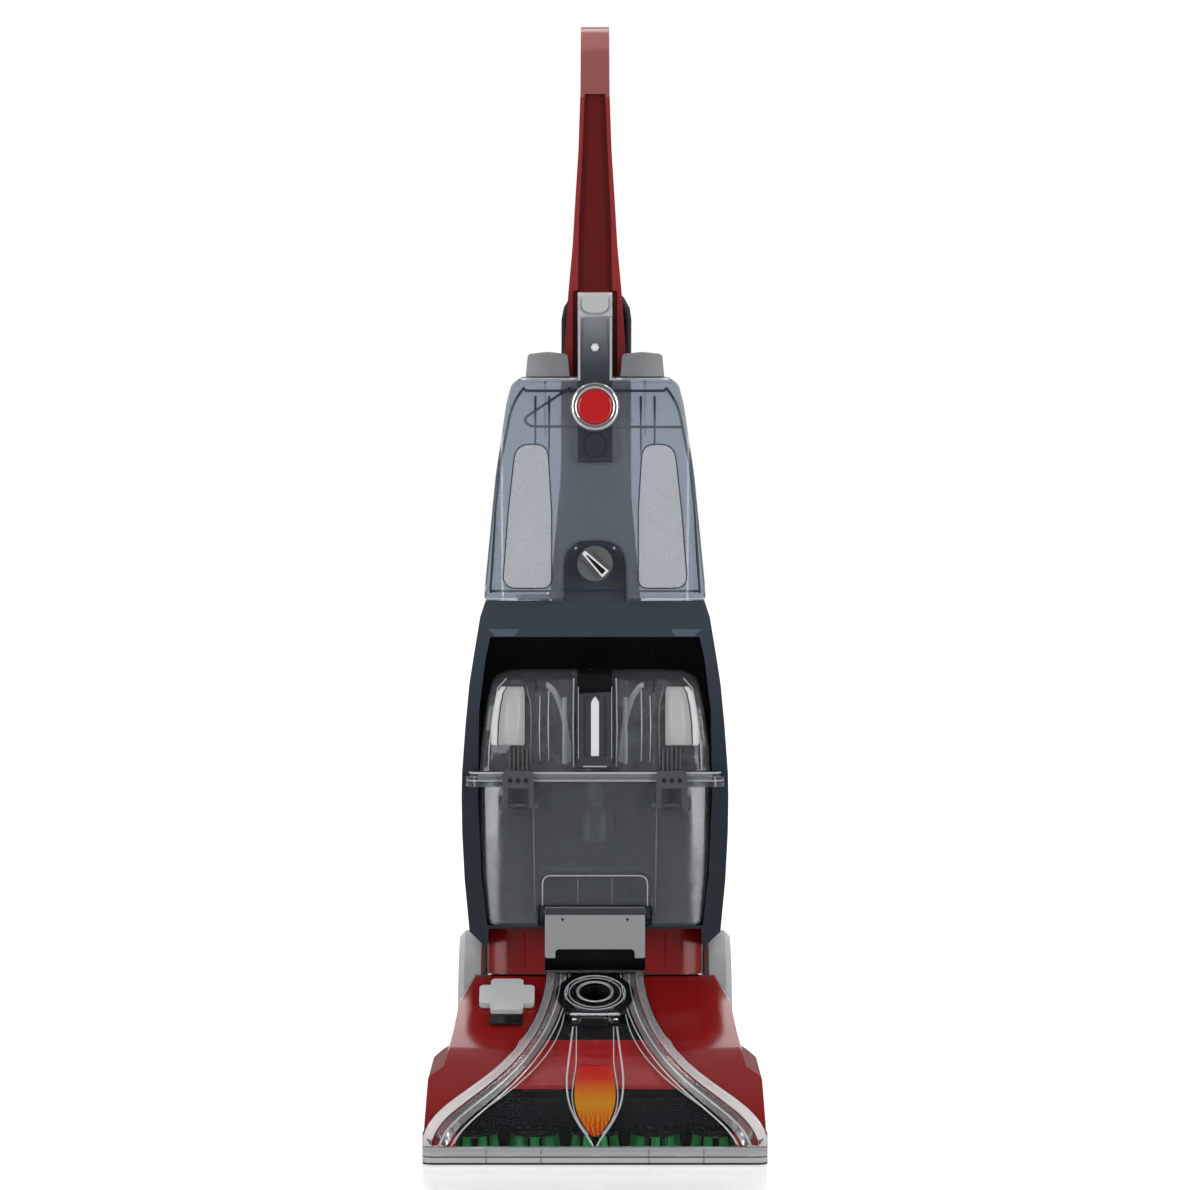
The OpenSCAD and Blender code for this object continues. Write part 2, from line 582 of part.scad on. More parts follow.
// ---- Wheels ----
module wheel_axle() color("silver") {
    rod_x(axle_r, -axle_end, axle_end, axle_y, axle_z);
    both() rod_x(axle_r + 4, axle_end - 3.6, axle_end, axle_y, axle_z);
}
module wheel_right() color([0.78, 0.79, 0.8]) translate([wheel_x, axle_y, axle_z]) rotate([90, 0,
    90]) difference() {
    union() {
        rotate_extrude($fn = 96) polygon([[wheel_r - 12, 3], [wheel_r - 5, 0], [wheel_r, 5], [wheel_r,
            wheel_w - 6],
            [wheel_r - 6, wheel_w], [wheel_r - 12, wheel_w - 1]]);
        rotate_extrude($fn = 64) polygon([[axle_r + 1, 3], [wheel_r - 11, 3], [wheel_r - 11, 7], [20, 7],
            [18, wheel_w], [axle_r + 1, wheel_w]]);
        cylinder(r = axle_r + 8, h = wheel_w);
        for (k = [0:spokes - 1]) rotate(k * 360 / spokes) linear_extrude(wheel_w - 3)
            polygon([[12, -5], [wheel_r - 9, -3], [wheel_r - 9, 3], [12, 5]]);
    }
    translate([0, 0, -5]) cylinder(r = axle_r + run_gap, h = wheel_w + 10);
}
module wheel_left() mirror([1, 0, 0]) wheel_right();

// ---- Upright body: drawn with the axle at y 112, z 98, and set on the real axle ----
pivot = [112, 98];
module on_body() translate([0, axle_y - pivot.x, axle_z - pivot.y]) children();
half = body_w / 2;
body_low = 196;
foot_top = 214;
front_face = -38;
back_face = 118;
shell_front = both_sides([[half - 24, body_low], [half - 8, 211], [half - 3, 264], [half - 0.5, 313],
    [half, 349], [half - 0.5, 374], [half - 4, 422], [half - 8, 464], [half - 13, 496],
    [half - 19, deck_top - 17], [half - 24.6, deck_top]]);
bay_back = 88;
bay_low = foot_top + seam + body_wall;
bay_top = 512;
function bay_front(d) = grown(both_sides([[half - rail_w - 9.5, bay_low], [half - rail_w - 3.5, 270],
    [half - rail_w, 352], [half - rail_w - 1.5, 438], [half - rail_w - 8, 490], [half - rail_w - 13,
        bay_top]]), d);
wheel_clear = wheel_r + 3;
module wheel_wells() both() rod_x(wheel_clear, wheel_x - 2.5, far, pivot.x, pivot.y, 96);
column_back = 92;
column_top = 712;
console_half = 30.7;
console_top = 609;
console_depth = 30;
knob_z = 587;
console_front = front_face + 2;
module console(d, front) slab_y(rounded(grown(both_sides([[console_half, deck_top - 8],
    [console_half - 1, console_top, 22]]), d)), front, console_front + console_depth + d);
port_x = -62;
neck_y = 22;
receiver_r = 27;
latch_x = 78;
paddle_z = 232;
paddle_back = -40;

module body_shell() color([0.17, 0.19, 0.23]) on_body() difference() {
    union() {
        difference() {
            slab_y(shell_front, front_face, back_face);
            slab_x([[front_face - 1, deck_top - 24], [front_face + 1.6, deck_top + 1], [front_face - 1,
                deck_top + 1]], -far, far);
            slab_y(bay_front(0), front_face - 1, bay_back);
            difference() {
                slab_y(grown(shell_front, -body_wall), front_face + body_wall, back_face + 1);
                slab_y(bay_front(body_wall), front_face, bay_back + body_wall);
            }
            block([-109.5 - seam, front_face - 1, 0], [109.5 + seam, far, foot_top + seam]);
        }
        difference() {
            slab_y(both_sides([[47, deck_top - 3], [spine_foot_w, column_top]]), 22, column_back);
            slab_y(both_sides([[44, deck_top - 20], [spine_foot_w - 3, column_top - 3]]), 25,
                column_back - 3);
        }
        difference() {
            console(0, console_front);
            slab_y(both_sides([[console_half - 3, 500], [console_half - 3, knob_z - 14]]), front_face + 6,
                front_face + 27);
        }
        // Ears that carry the release paddle
        both() slab_x(rounded([[front_face - 8, paddle_z - 6, 4], [front_face + 4, foot_top + seam],
            [front_face + 12, foot_top + seam],
            [front_face + 12, bay_low + 4], [front_face + 2, paddle_z + 6, 4], [front_face - 8,
                paddle_z + 6, 4]]),
            paddle_w / 2 + 1, paddle_w / 2 + 4.5);
        rod_z(receiver_r + 3, deck_top - 12, deck_top, port_x, neck_y);
    }
    wheel_wells();
    block([-paddle_w / 2 - 1, front_face - 1, 200], [paddle_w / 2 + 1, front_face + 12, bay_low + 1]);
    rod_x(2.5 + run_gap, -paddle_w, paddle_w, paddle_back, paddle_z, 32);
    rod_y(4 + run_gap, front_face - 5, front_face + 20, 0, knob_z);
    rod_z(receiver_r, bay_top, far, port_x, neck_y);
    block([port_x - 10, neck_y + 6, bay_top - 5], [port_x + 10, neck_y + 20, deck_top - 20]);
}
module rear_cover() color([0.14, 0.15, 0.18]) on_body() difference() {
    intersection() {
        slab_y(shell_front, back_face + seam, 145);
        slab_x(rounded([[back_face + seam, foot_top + seam], [132, foot_top + seam, 6], [140, 236, 20],
            [140, deck_top - 30, 24],
            [126, deck_top, 8], [back_face + seam, deck_top]]), -far, far);
    }
    intersection() {
        slab_y(grown(shell_front, -body_wall), back_face - 1, 145);
        slab_x(rounded([[back_face - 5, foot_top + seam + 3], [130, foot_top + seam + 3, 6], [137, 238, 18],
            [137, deck_top - 32, 22], [124, deck_top - 3, 8], [back_face - 5, deck_top - 3]]), -far, far);
    }
    wheel_wells();
    for (k = [0:8]) block([-62, 120, 300 + k * 12], [62, 150, 305 + k * 12]);
}
foot_front = -15;
foot_low = pivot.y + drum_r + foot_gap;
arm_x = drum_w / 2 + arm_gap;
arm_boss = 17;
module body_foot() color([0.62, 0.05, 0.07]) on_body() difference() {
    union() {
        difference() {
            slab_y(rounded(both_sides([[109.5, foot_low, 3], [109.5, foot_top, 3]])), foot_front, 130);
            block([-103.5, 22, foot_low + 6], [103.5, 124, foot_top + 1]);
            block([-paddle_w / 2, foot_front - 1, foot_low - 5], [paddle_w / 2, 22 - 4, foot_top + 1]);
            both() slab_z([[70, foot_front - 1], [91, foot_front - 1], [88, foot_front + 2], [73,
                foot_front + 2]], foot_low + 7, foot_top - 6);
            rod_x(drum_r + foot_gap, -120, 120, pivot.x, pivot.y, 128);
        }
        both() difference() {
            union() {
                slab_x([[84, foot_low + 4], [130, foot_low + 4], [pivot.x + arm_boss - 1, pivot.y],
                    [pivot.x - arm_boss + 1, pivot.y]],
                    arm_x, arm_x + arm_t);
                rod_x(arm_boss, arm_x, arm_x + arm_t, pivot.x, pivot.y);
            }
        }
    }
    rod_x(axle_r + run_gap, -far, far, pivot.x, pivot.y);
}
module release_paddle() color([0.75, 0.76, 0.77]) on_body() {
    difference() {
        slab_y(rounded(both_sides([[paddle_w / 2 - 0.5, 185, 2], [paddle_w / 2 - 0.5, 236.5, 4]])),
            paddle_back - 6, paddle_back);
        slab_y(rounded(both_sides([[paddle_w / 2 - 11, 180], [paddle_w / 2 - 11, 194, 4]])),
            paddle_back - 8, paddle_back + 2);
        slab_y(rounded(both_sides([[paddle_w / 2 - 6, 199, 3], [paddle_w / 2 - 6, 226, 3]])),
            paddle_back - 2.6, paddle_back + 2);
    }
    both() rod_x(2.5, paddle_w / 2 - 8, paddle_w / 2 + 4.5, paddle_back, paddle_z, 32);
    both() rod_x(4.4, paddle_w / 2 - 8, paddle_w / 2 - 0.5, paddle_back, paddle_z, 32);
}
module selector_knob() color([0.25, 0.26, 0.28]) on_body() {
    rod_y(knob_r, front_face - 10, front_face + 2 - seam, 0, knob_z, 64);
    rod_y(4, front_face - 2, front_face + 19, 0, knob_z);
    translate([0, front_face - 10, knob_z]) rotate([0, -45, 0]) slab_y(rounded([[-3, -15, 2], [3, -15, 2],
        [6, 15, 3], [-6, 15, 3]]), -4, 1);
}

// ---- Recovery tank, which slides out of the bay ----
tank_gap = 1.5;
tank_front_y = -45;
tank_back_y = 85;
tank_low = bay_low + seam;
flange_h = 10;
arch_half = 58;
function tank_front(d) = grown(both_sides([[half - rail_w - 9.5 - tank_gap, tank_low, 10],
    [half - rail_w - 3.5 - tank_gap, 270],
    [half - rail_w - tank_gap, 352], [half - rail_w - tank_gap, flange_z + 6]]), d);
function tank_plan(d) = grown(both_sides([[74.6, tank_front_y, 4], [half - rail_w - tank_gap,
    tank_front_y + 14, 6],
    [half - rail_w - tank_gap, tank_back_y, 10]]), d);
module tank_form(d) intersection() {
    slab_y(rounded(tank_front(-d)), tank_front_y + d, tank_back_y - d);
    slab_z(rounded(tank_plan(-d)), 0, far);
}
module tank_arch(d) slab_y(rounded(grown(both_sides([[arch_half, 0], [arch_half, 273, 12]]), d)),
    tank_front_y - 1 - d, tank_front_y + 21 + d);
// Raised floor, which passes over the release paddle as the tank slides out at tank_tilt
tank_tilt = 12;
run_top = 238.5;
run_end = paddle_back + (run_top - tank_low + 2) / tan(tank_tilt);
module paddle_run(d) slab_x([[tank_front_y + 15, 0], [run_end, 0], [run_end, tank_low - 2 + d],
    [tank_front_y + 15, run_top + (paddle_back - tank_front_y - 15) * tan(tank_tilt) + d]], -arch_half - d,
        arch_half + d);
module recovery_tank() color([0.35, 0.38, 0.42, 0.5]) on_body() difference() {
    union() {
        difference() {
            tank_form(0);
            difference() {
                tank_form(tank_wall);
                tank_arch(tank_wall);
                paddle_run(tank_wall);
            }
            tank_arch(0);
            paddle_run(0);
            block([-far, -far, flange_z], [far, far, far]);
        }
        difference() {
            union() {
                slab_z(rounded(both_sides([[half - 4, tank_front_y - 7, 12], [half - 4,
                    front_face - 1.5]])), flange_z, flange_z + flange_h);
                slab_z(rounded(tank_plan(0)), flange_z, flange_z + flange_h);
            }
            slab_z(rounded(tank_plan(-6)), flange_z - 1, flange_z + flange_h + 1);
        }
        // Ears of the two latches
        both() for (s = [-1, 1]) slab_x(rounded([[tank_front_y - 12, 337, 3], [tank_front_y + 5 + 4 * s, 334],
            [tank_front_y + 5 + 4 * s, 350], [tank_front_y - 12, 346, 3]]), latch_x + s * 18.2 - 1.8,
                latch_x + s * 18.2 + 1.8);
    }
    both() rod_x(2 + run_gap, latch_x - 25, latch_x + 25, tank_front_y - 8, 341.5, 32);
}
module tank_latch(s) color([0.2, 0.22, 0.26]) on_body() {
    difference() {
        slab_y([for (q = rounded(both_sides([[15.6, 338, 3], [15.6, 377, 5]]))) [q.x + s * latch_x, q.y]],
            tank_front_y - 13, tank_front_y - 7 - seam);
        for (k = [-1:1]) rod_y(2.6, tank_front_y - 14, tank_front_y - 10, s * latch_x + k * 8, 367, 24);
        block([s * latch_x - 10.8, tank_front_y - 14, 330], [s * latch_x + 10.8, tank_front_y - 6, 359]);
    }
    slab_x([[tank_front_y - 8, flange_z + flange_h + 4.4], [tank_front_y - 3, flange_z + flange_h + 4.4],
        [tank_front_y - 3, flange_z + flange_h + 6.5], [tank_front_y - 8, flange_z + flange_h + 6.9]],
            s * latch_x - 10, s * latch_x + 10);
    rod_x(2, s * latch_x - 20, s * latch_x + 20, tank_front_y - 8, 341.5, 32);
}
lid_low = flange_z + flange_h + seam;
function lid_front(d) = grown(both_sides([[half - rail_w - tank_gap - 0.5, lid_low - 3 * max(0, -d)],
    [half - rail_w - 4, 400],
    [half - rail_w - 9, 440, 12], [half - 32, lid_top - 6, 14], [half - 50, lid_top, 8]]), d);
function lid_side(d) = grown([[tank_front_y, lid_low - 3 * max(0, -d)], [tank_back_y - 1,
    lid_low - 3 * max(0, -d)],
    [tank_back_y - 1, lid_top - 14, 10], [40, lid_top - 2, 30], [tank_front_y + 26, lid_top, 24],
        [tank_front_y, lid_top - 36, 20]], d);
module lid_form(d) intersection() {
    slab_y(rounded(lid_front(-d)), -far, far);
    slab_x(rounded(lid_side(-d)), -far, far);
}
bail_deep = 30;
float_y = 40;
module recovery_lid() color([0.33, 0.36, 0.4, 0.5]) on_body() difference() {
    union() {
        difference() {
            union() {
                lid_form(0);
                slab_z(rounded(both_sides([[half - 8, tank_front_y - 6, 11], [half - 8,
                    front_face - 1.5]])), lid_low, lid_low + 4);
            }
            difference() {
                lid_form(tank_wall);
                block([-bail_w / 2 - 6, -far, 0], [bail_w / 2 + 6, tank_front_y + bail_deep + tank_wall,
                    far]);
            }
        }
        rod_z(6.8, 296, lid_top - 4, 0, float_y, 32);
        rod_z(10, 296, 299, 0, float_y, 32);
        // Inner baffles
        for (s = [-1, 1]) block([s * 60 - 1.2, tank_front_y + 12, lid_low + 1], [s * 60 + 1.2,
            tank_back_y - 12, lid_top - 8]);
    }
    block([-bail_w / 2 - 3.5, -far, lid_low + 8], [bail_w / 2 + 3.5, tank_front_y + bail_deep, far]);
}
module recovery_handle() color([0.2, 0.22, 0.26]) on_body() difference() {
    slab_x(rounded([[tank_front_y - 7, lid_low + 8 + seam, 3], [tank_front_y + bail_deep - seam,
        lid_low + 8 + seam],
        [tank_front_y + bail_deep - seam, lid_top, 3], [tank_front_y + 10, lid_top, 10], [tank_front_y - 7,
            lid_top - 20, 14]]),
        -bail_w / 2, bail_w / 2);
    slab_x(rounded([[tank_front_y + 3, lid_low + 22, 6], [tank_front_y + bail_deep - 5, lid_low + 22, 6],
        [tank_front_y + bail_deep - 5, lid_top - 9, 6], [tank_front_y + 12, lid_top - 9, 8],
            [tank_front_y + 3, lid_top - 24, 8]]), -far, far);
    block([-bail_w / 2 + 6, -far, lid_low + 21], [bail_w / 2 - 6, tank_front_y - 5, lid_top - 26]);
}
module tank_float() color([0.85, 0.85, 0.82]) on_body() difference() {
    rod_z(20, 299.4, 330, 0, float_y, 64);
    rod_z(7.3, 290, 340, 0, float_y, 32);
}

// ---- Solution tank, which lifts off the deck ----
clean_low = deck_top + seam;
clean_front_y = -50;
clean_back_y = 75;
function clean_front(d) = grown(both_sides([[half - 23, clean_low, 4], [half - 24, deck_top + 16],
    [half - 35, 675],
    [half - 46, clean_top - 28], [half - 51, clean_top - 8, 12], [half - 62, clean_top, 8]]), d);
function clean_side(d) = grown([[clean_front_y, clean_low], [clean_back_y, clean_low], [clean_back_y,
    clean_top - 60, 20],
    [clean_back_y - 20, clean_top, 20], [clean_front_y + 12, clean_top, 14], [clean_front_y,
        clean_top - 46, 20]], d);
function clean_plan(d) = grown(both_sides([[half - 40, clean_front_y, 18], [half - 22, clean_front_y + 20,
    12],
    [half - 22, clean_back_y, 12]]), d);
module clean_form(d) intersection() {
    slab_y(rounded(clean_front(-d)), -far, far);
    slab_x(rounded(clean_side(-d)), -far, far);
    slab_z(rounded(clean_plan(-d)), 0, far);
}
module column_slot(d) block([-50 - d, 18 - d, 0], [50 + d, far, far]);
module solution_tank() color([0.3, 0.38, 0.55, 0.45]) on_body() difference() {
    union() {
        difference() {
            clean_form(0);
            difference() {
                clean_form(clean_wall);
                console(lift_gap + clean_wall, clean_front_y - 5);
                column_slot(clean_wall);
            }
            console(lift_gap, clean_front_y - 5);
            column_slot(0);
        }
        rod_z(19, deck_top - 16, clean_low + 4, port_x, neck_y);
    }
    rod_z(16, deck_top - 30, clean_low + 8, port_x, neck_y);
}
module solution_cap() color([0.15, 0.15, 0.16]) on_body() difference() {
    union() {
        rod_z(23, deck_top - 20, deck_top - 4, port_x, neck_y);
        for (k = [0:15]) translate([port_x, neck_y, deck_top - 19]) rotate(k * 22.5) translate([22, -1.5,
            0]) cube([2.2, 3, 14]);
    }
    rod_z(19 + seam, deck_top - 16 - seam, deck_top, port_x, neck_y);
    rod_z(6, deck_top - 30, deck_top, port_x, neck_y);
}
module valve_receiver() color([0.1, 0.1, 0.11]) on_body() difference() {
    union() {
        rod_z(receiver_r - seam, deck_top - 26, deck_top - 1, port_x, neck_y);
        rod_z(7, deck_top - 33, deck_top - 20, port_x, neck_y, 32);
    }
    rod_z(receiver_r - 2, deck_top - 22, deck_top, port_x, neck_y);
    rod_z(3.5, deck_top - 40, deck_top, port_x, neck_y, 24);
}
module tank_feet() color([0.78, 0.79, 0.8]) on_body() both() intersection() {
    slab_y(rounded([[26, clean_top + seam], [70.6, clean_top + seam], [68.5, clean_top + 23, 4], [48,
        clean_top + 25.5, 30],
        [28, clean_top + 23, 4]]), -30, 30);
    slab_x(rounded([[-28, clean_top], [28, clean_top], [20, clean_top + 27, 8], [-20, clean_top + 27, 8]]),
        0, far);
}
carry_front = clean_front_y - 7;
module carry_handle() color([0.55, 0.57, 0.6]) on_body() difference() {
    union() {
        slab_x(rounded([[carry_front, 690, 4], [clean_front_y - seam, 690], [clean_front_y - seam,
            clean_top + seam],
            [32, clean_top + seam], [32, carry_top - 28, 14], [14, carry_top, 10], [carry_front + 33,
                carry_top, 10],
            [carry_front + 3, carry_top - 27, 12], [carry_front, clean_top]]), -carry_w / 2, carry_w / 2);
    }
    slab_x(rounded([[carry_front + 13, clean_top - 5], [21, clean_top - 5], [21, carry_top - 32, 8], [8,
        carry_top - 13, 8],
        [carry_front + 36, carry_top - 13, 8], [carry_front + 13, carry_top - 34, 8]]), -far, far);
    // The body of the tank
    difference() {
        clean_form(-seam);
        block([-far, -far, 0], [far, clean_front_y - seam + 0.01, 600]);
    }
    rod_y(13, carry_front - 1, carry_front + 2, 0, 707);
    at_button() linear_extrude(8) button_plan(0.5);
}
button_h = 30;
module at_button() translate([0, carry_front + 18, carry_top - 13.5]) rotate([42, 0, 0]) translate([0, 0,
    -4.5]) children();
module button_plan(d = 0) polygon(rounded(grown([[-13.8, -button_h / 2, 12], [13.8, -button_h / 2, 12],
    [13.8, button_h / 2 - 2, 3], [-13.8, button_h / 2 - 2, 3]], d), 8));
module carry_button() color([0.92, 0.92, 0.93]) on_body() at_button() translate([0, 0,
    3.6]) linear_extrude(3.4) button_plan();
module badge() color([0.8, 0.8, 0.82]) on_body() difference() {
    union() {
        rod_y(badge_r, carry_front - 4, carry_front - seam, 0, 746, 96);
        rod_y(badge_r - 7, carry_front - 4.8, carry_front - 2, 0, 746, 64);
    }
    difference() {
        rod_y(badge_r - 3.2, carry_front - 6, carry_front - 2.6, 0, 746, 64);
        rod_y(badge_r - 7, carry_front - 7, carry_front - 2, 0, 746, 64);
    }
}

// ---- Handle ----
spine_back = 95;
grip_low = overall_h - 185;
loop_back = 168;
// Height at the share k of the handle, from its foot to its crown
function up(k) = column_top + (overall_h - column_top) * k;
handle_w = both_sides([[spine_foot_w, column_top + seam], [spine_foot_w, up(0.203)], [31.1, up(0.238)],
    [27.4, up(0.358)], [23.2, up(0.464)], [20.3, up(0.58)], [17.2, up(0.693)], [spine_top_w + 0.4, up(0.834)],
    [spine_top_w, overall_h + 5]]);
handle_side = [[62, column_top + seam], [spine_back, column_top + seam], [spine_back, grip_low, 30],
    [loop_back - 16, grip_low + 40, 26],
    [loop_back, grip_low + 66, 24], [loop_back - 14, overall_h - 26, 26], [loop_back - 42, overall_h, 26],
        [100, overall_h, 26],
    [72, overall_h - 30, 30], [58, overall_h - 75, 20], [52, up(0.665)], [41, up(0.36)], [40,
        column_top + seam]];
finger_hole = [[spine_back - 3, grip_low + 70, 10], [spine_back + 10, grip_low + 46, 12], [loop_back - 26,
    grip_low + 64, 14],
    [loop_back - 25, overall_h - 50, 16], [loop_back - 48, overall_h - 27, 14], [103, overall_h - 28, 14],
        [84, overall_h - 65, 16]];
module handle_front() color([0.65, 0.05, 0.07]) on_body() difference() {
    intersection() {
        slab_y(handle_w, 30, 180);
        slab_x(rounded(handle_side, 8), -far, far);
    }
    slab_x(rounded(finger_hole, 8), -far, far);
    // Recessed front panel between the side ribs
    difference() {
        intersection() {
            slab_y(both_sides([[23, column_top + 10], [23, up(0.356)], [17.8, up(0.36)], [16.6, up(0.522)],
                [13.1, up(0.693)], [10.7, overall_h - 74]]), 20, 90);
            slab_x([[20, 700], [46, 700], [46, up(0.36)], [57, up(0.665)], [63, overall_h - 73], [20,
                overall_h - 73]], -far, far);
        }
    }
    // Seat of the rear cover, and the rod's channel
    slab_y(grown(handle_back_plan, seam), spine_back - 4, spine_back + 1);
    block([-4, rod_front, column_top + 30], [4, spine_back, overall_h - 89]);
    rod_y(hook_pin_r + 4 + seam, spine_back - 9, spine_back, 0, hook_z);
    // Slot and pin bore of the trigger
    slab_x([for (q = [[67, -52], [106, -52], [106, 12], [80, 14], [67, 8]]) [q.x, trigger_pivot.y + q.y]],
        -5.2, 5.2);
    rod_x(2.5 + run_gap, -9.5, 9.5, trigger_pivot.x, trigger_pivot.y, 32);
}
handle_back_plan = both_sides([[spine_foot_w - 5, column_top + 8], [spine_foot_w - 5, up(0.203)], [22.4,
    up(0.358)],
    [15.4, grip_low - 10]]);
rod_front = 78;
trigger_pivot = [76, overall_h - 75];
hook_pin_r = 5;
hook_z = 839;
hook_low_z = hook_z - hank_run;
hook_r = 15;
module handle_rear() color([0.14, 0.15, 0.18]) on_body() difference() {
    union() {
        slab_y(handle_back_plan, spine_back - 4 + seam, spine_back);
        rod_y(hook_pin_r + 4, spine_back - 8, spine_back - 2, 0, hook_z);
    }
    rod_y(hook_pin_r + run_gap, 0, 200, 0, hook_z);
}
function trigger_pivot_at(q) = [trigger_pivot.x + q.x, trigger_pivot.y + q.y, q[2]];
module trigger() color([0.12, 0.12, 0.13]) on_body() {
    rod_x(2.5, -9, 9, trigger_pivot.x, trigger_pivot.y, 32);
    slab_x(rounded([for (q = [[-4, -4, 3], [8, -14, 2], [14, -18, 3], [16, -40, 3], [25, -40, 3], [27, -22,
        8],
        [22, -4, 8], [4, 6, 5]]) trigger_pivot_at(q)]), -4.6, 4.6);
}
module trigger_rod() color("silver") on_body()
    rod_z(3, column_top + 34, trigger_pivot.y - 20, 0, rod_front + 3 + seam, 32);

// ---- Cord ----
module hook(z, face, up) {
    rod_y(hook_r, face, hank_back + 2, 0, z);
    rod_y(hook_r - 4, face - 0.01, face + 4, 0, z);
    slab_y(rounded([[-11, z], [11, z], [11, z + up * 33, 8], [-11, z + up * 33, 8]]), hank_back + 1.4,
        hank_back + 5);
}
module cord_hook_upper() color([0.14, 0.15, 0.18]) on_body() {
    hook(hook_z, spine_back + seam, 1);
    rod_y(hook_pin_r, spine_back - 8, spine_back + 1, 0, hook_z);
}
module cord_hook_lower() color([0.14, 0.15, 0.18]) on_body() mirror([0, 0, 1]) translate([0, 0,
    -2 * hook_low_z])
    hook(hook_low_z, column_back + seam, 1);
hank_x = 3;
hank_in = 23;
hank_rings = 133;
hank_y = spine_back + 4 + cord_d / 2 - 3.7;
hank_back = hank_y + 3 * layer_step() + cord_d / 2 + 1;
function layer_step() = cord_d + 0.45;
// Loops wind in and out at a steady rate, and climb one layer along the run where they reverse
function loop_r(u) = hank_in + (cord_d + 0.5) * abs((u + 0.4375) % 3 - 1.5);
function climbed(u, at) = min(1, max(0, (u - at) / 0.125 + 0.5));
function loop_y(u) = hank_y + layer_step() * (climbed(u, 1.0625) + climbed(u, 2.5625) + climbed(u, 4.0625));
// Each loop has 24 steps: 3 up the right run, 9 over the top, 3 down the left run, 9 round the bottom
function loop_xz(q, r) = q < 3 ? [r, hook_low_z + hank_run * q / 3]
    : q < 12 ? [0, hook_z] + polar(r, (q - 3) * 20)
    : q < 15 ? [-r, hook_z - hank_run * (q - 12) / 3] : [0, hook_low_z] + polar(r, (q - 6) * 20);
hank_mid = [for (k = [0:hank_rings]) let (u = k / 24, p = loop_xz(k % 24, loop_r(u))) [hank_x + p.x,
    loop_y(u), p.y]];
hank_start = hank_mid[0] - [0, 0, cord_d];
hank_end = hank_mid[hank_rings] - [0, 0, cord_d];
hank_path = concat([hank_start], hank_mid, [hank_end]);
hank_gap = min([for (i = [0:hank_rings], j = [i + 6:1:hank_rings]) norm(hank_mid[i] - hank_mid[j])]) - cord_d;
echo(str("least gap of the hank to itself: ", hank_gap));
// A tube of n sides swept along a path of points
module tube(path, d, n) {
    last = len(path) - 1;
    rings = [for (k = [0:last]) let (t = unit(path[min(k + 1, last)] - path[max(k - 1, 0)]),
        b = unit([0, 1, 0] - t.y * t), a = cross(b, t)) [for (i = [0:n - 1])
            path[k] + d / 2 * (cos(360 * i / n) * a + sin(360 * i / n) * b)]];
    polyhedron([for (ring = rings) each ring], concat([[for (i = [0:n - 1]) i]],
        [[for (i = [n - 1:-1:0]) last * n + i]],
        [for (k = [0:last - 1], i = [0:n - 1]) let (j = (i + 1) % n) each
            [[k * n + i, (k + 1) * n + j, k * n + j], [k * n + i, (k + 1) * n + i, (k + 1) * n + j]]]));
}
plug_top = [-24, 150, 612];
boot_top = deck_top + 26;
module cord_boot() color([0.05, 0.05, 0.05]) on_body() translate([hank_start.x, hank_start.y,
    deck_top + seam]) {
    cylinder(r = cord_d / 2 + 2.6, h = 5);
    for (k = [0:3]) translate([0, 0, 5 + k * 5]) cylinder(r = cord_d / 2 + 2.4 - k * 0.4, h = 3.4);
    cylinder(r = cord_d / 2 + 0.6, h = boot_top - deck_top - seam);
}
module cord_lead() color([0.05, 0.05, 0.05]) on_body() {
    tube([[hank_start.x, hank_start.y, boot_top], hank_start], cord_d, 8);
    tube(concat([hank_end], bezier(hank_end - [0, 0, cord_d], hank_end - [0, 0, 56], plug_top + [0, 0, 62],
        plug_top + [0, 0, cord_d], 10), [plug_top]), cord_d, 8);
}
module cord_hank() color([0.05, 0.05, 0.05]) on_body() tube(hank_path, cord_d, 6);
module cord_plug() color([0.05, 0.05, 0.05]) on_body() translate(plug_top) {
    rod_z(cord_d / 2 + 1.2, -12, 0, 0, 0, 32);
    slab_z(rounded([[-12, -8, 5], [12, -8, 5], [12, 8, 5], [-12, 8, 5]]), -40, -11);
    for (s = [-1, 1]) block([s * 6.3 - 0.8, -3.2, -57], [s * 6.3 + 0.8, 3.2, -39]);
}

base_pan();
base_hood();
nozzle_cover();
nozzle_lip();
brush_housing();
brush_pins();
brush_gear(1);  // brush_gear_1
brush_gear(2);  // brush_gear_2
brush_gear(3);  // brush_gear_3
brush_gear(4);  // brush_gear_4
brush_gear(5);  // brush_gear_5
brush_bristles(1);  // brush_bristles_1
brush_bristles(2);  // brush_bristles_2
brush_bristles(3);  // brush_bristles_3
brush_bristles(4);  // brush_bristles_4
brush_bristles(5);  // brush_bristles_5
drive_pulley();
drive_belt();
suction_motor();
motor_shaft();
fan_wheel();
fan_housing();
solution_pump();
spray_bar();
power_switch();
power_pedal();
recline_pedal();
port_door();
port_hinge_pin();
wheel_axle();
wheel_left();
wheel_right();
body_shell();
rear_cover();
body_foot();
release_paddle();
selector_knob();
recovery_tank();
tank_latch(-1);  // tank_latch_left
tank_latch(1);  // tank_latch_right
recovery_lid();
recovery_handle();
tank_float();
solution_tank();
solution_cap();
valve_receiver();
tank_feet();
carry_handle();
carry_button();
badge();
handle_front();
handle_rear();
trigger();
trigger_rod();
cord_hook_upper();
cord_hook_lower();
cord_boot();
cord_lead();
cord_hank();
cord_plug();
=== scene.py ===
# %% [markdown]
# # An upright carpet cleaner, dressed
# The CAD model gives every hard part at its true size and place. This lesson gives those parts their
# plastics, metals and rubbers, adds the details that are too fine for the CAD model, and lights the
# whole machine as in a small studio. All lengths are metres.

# %% The packed model and what the lesson uses
import json
import math
import random

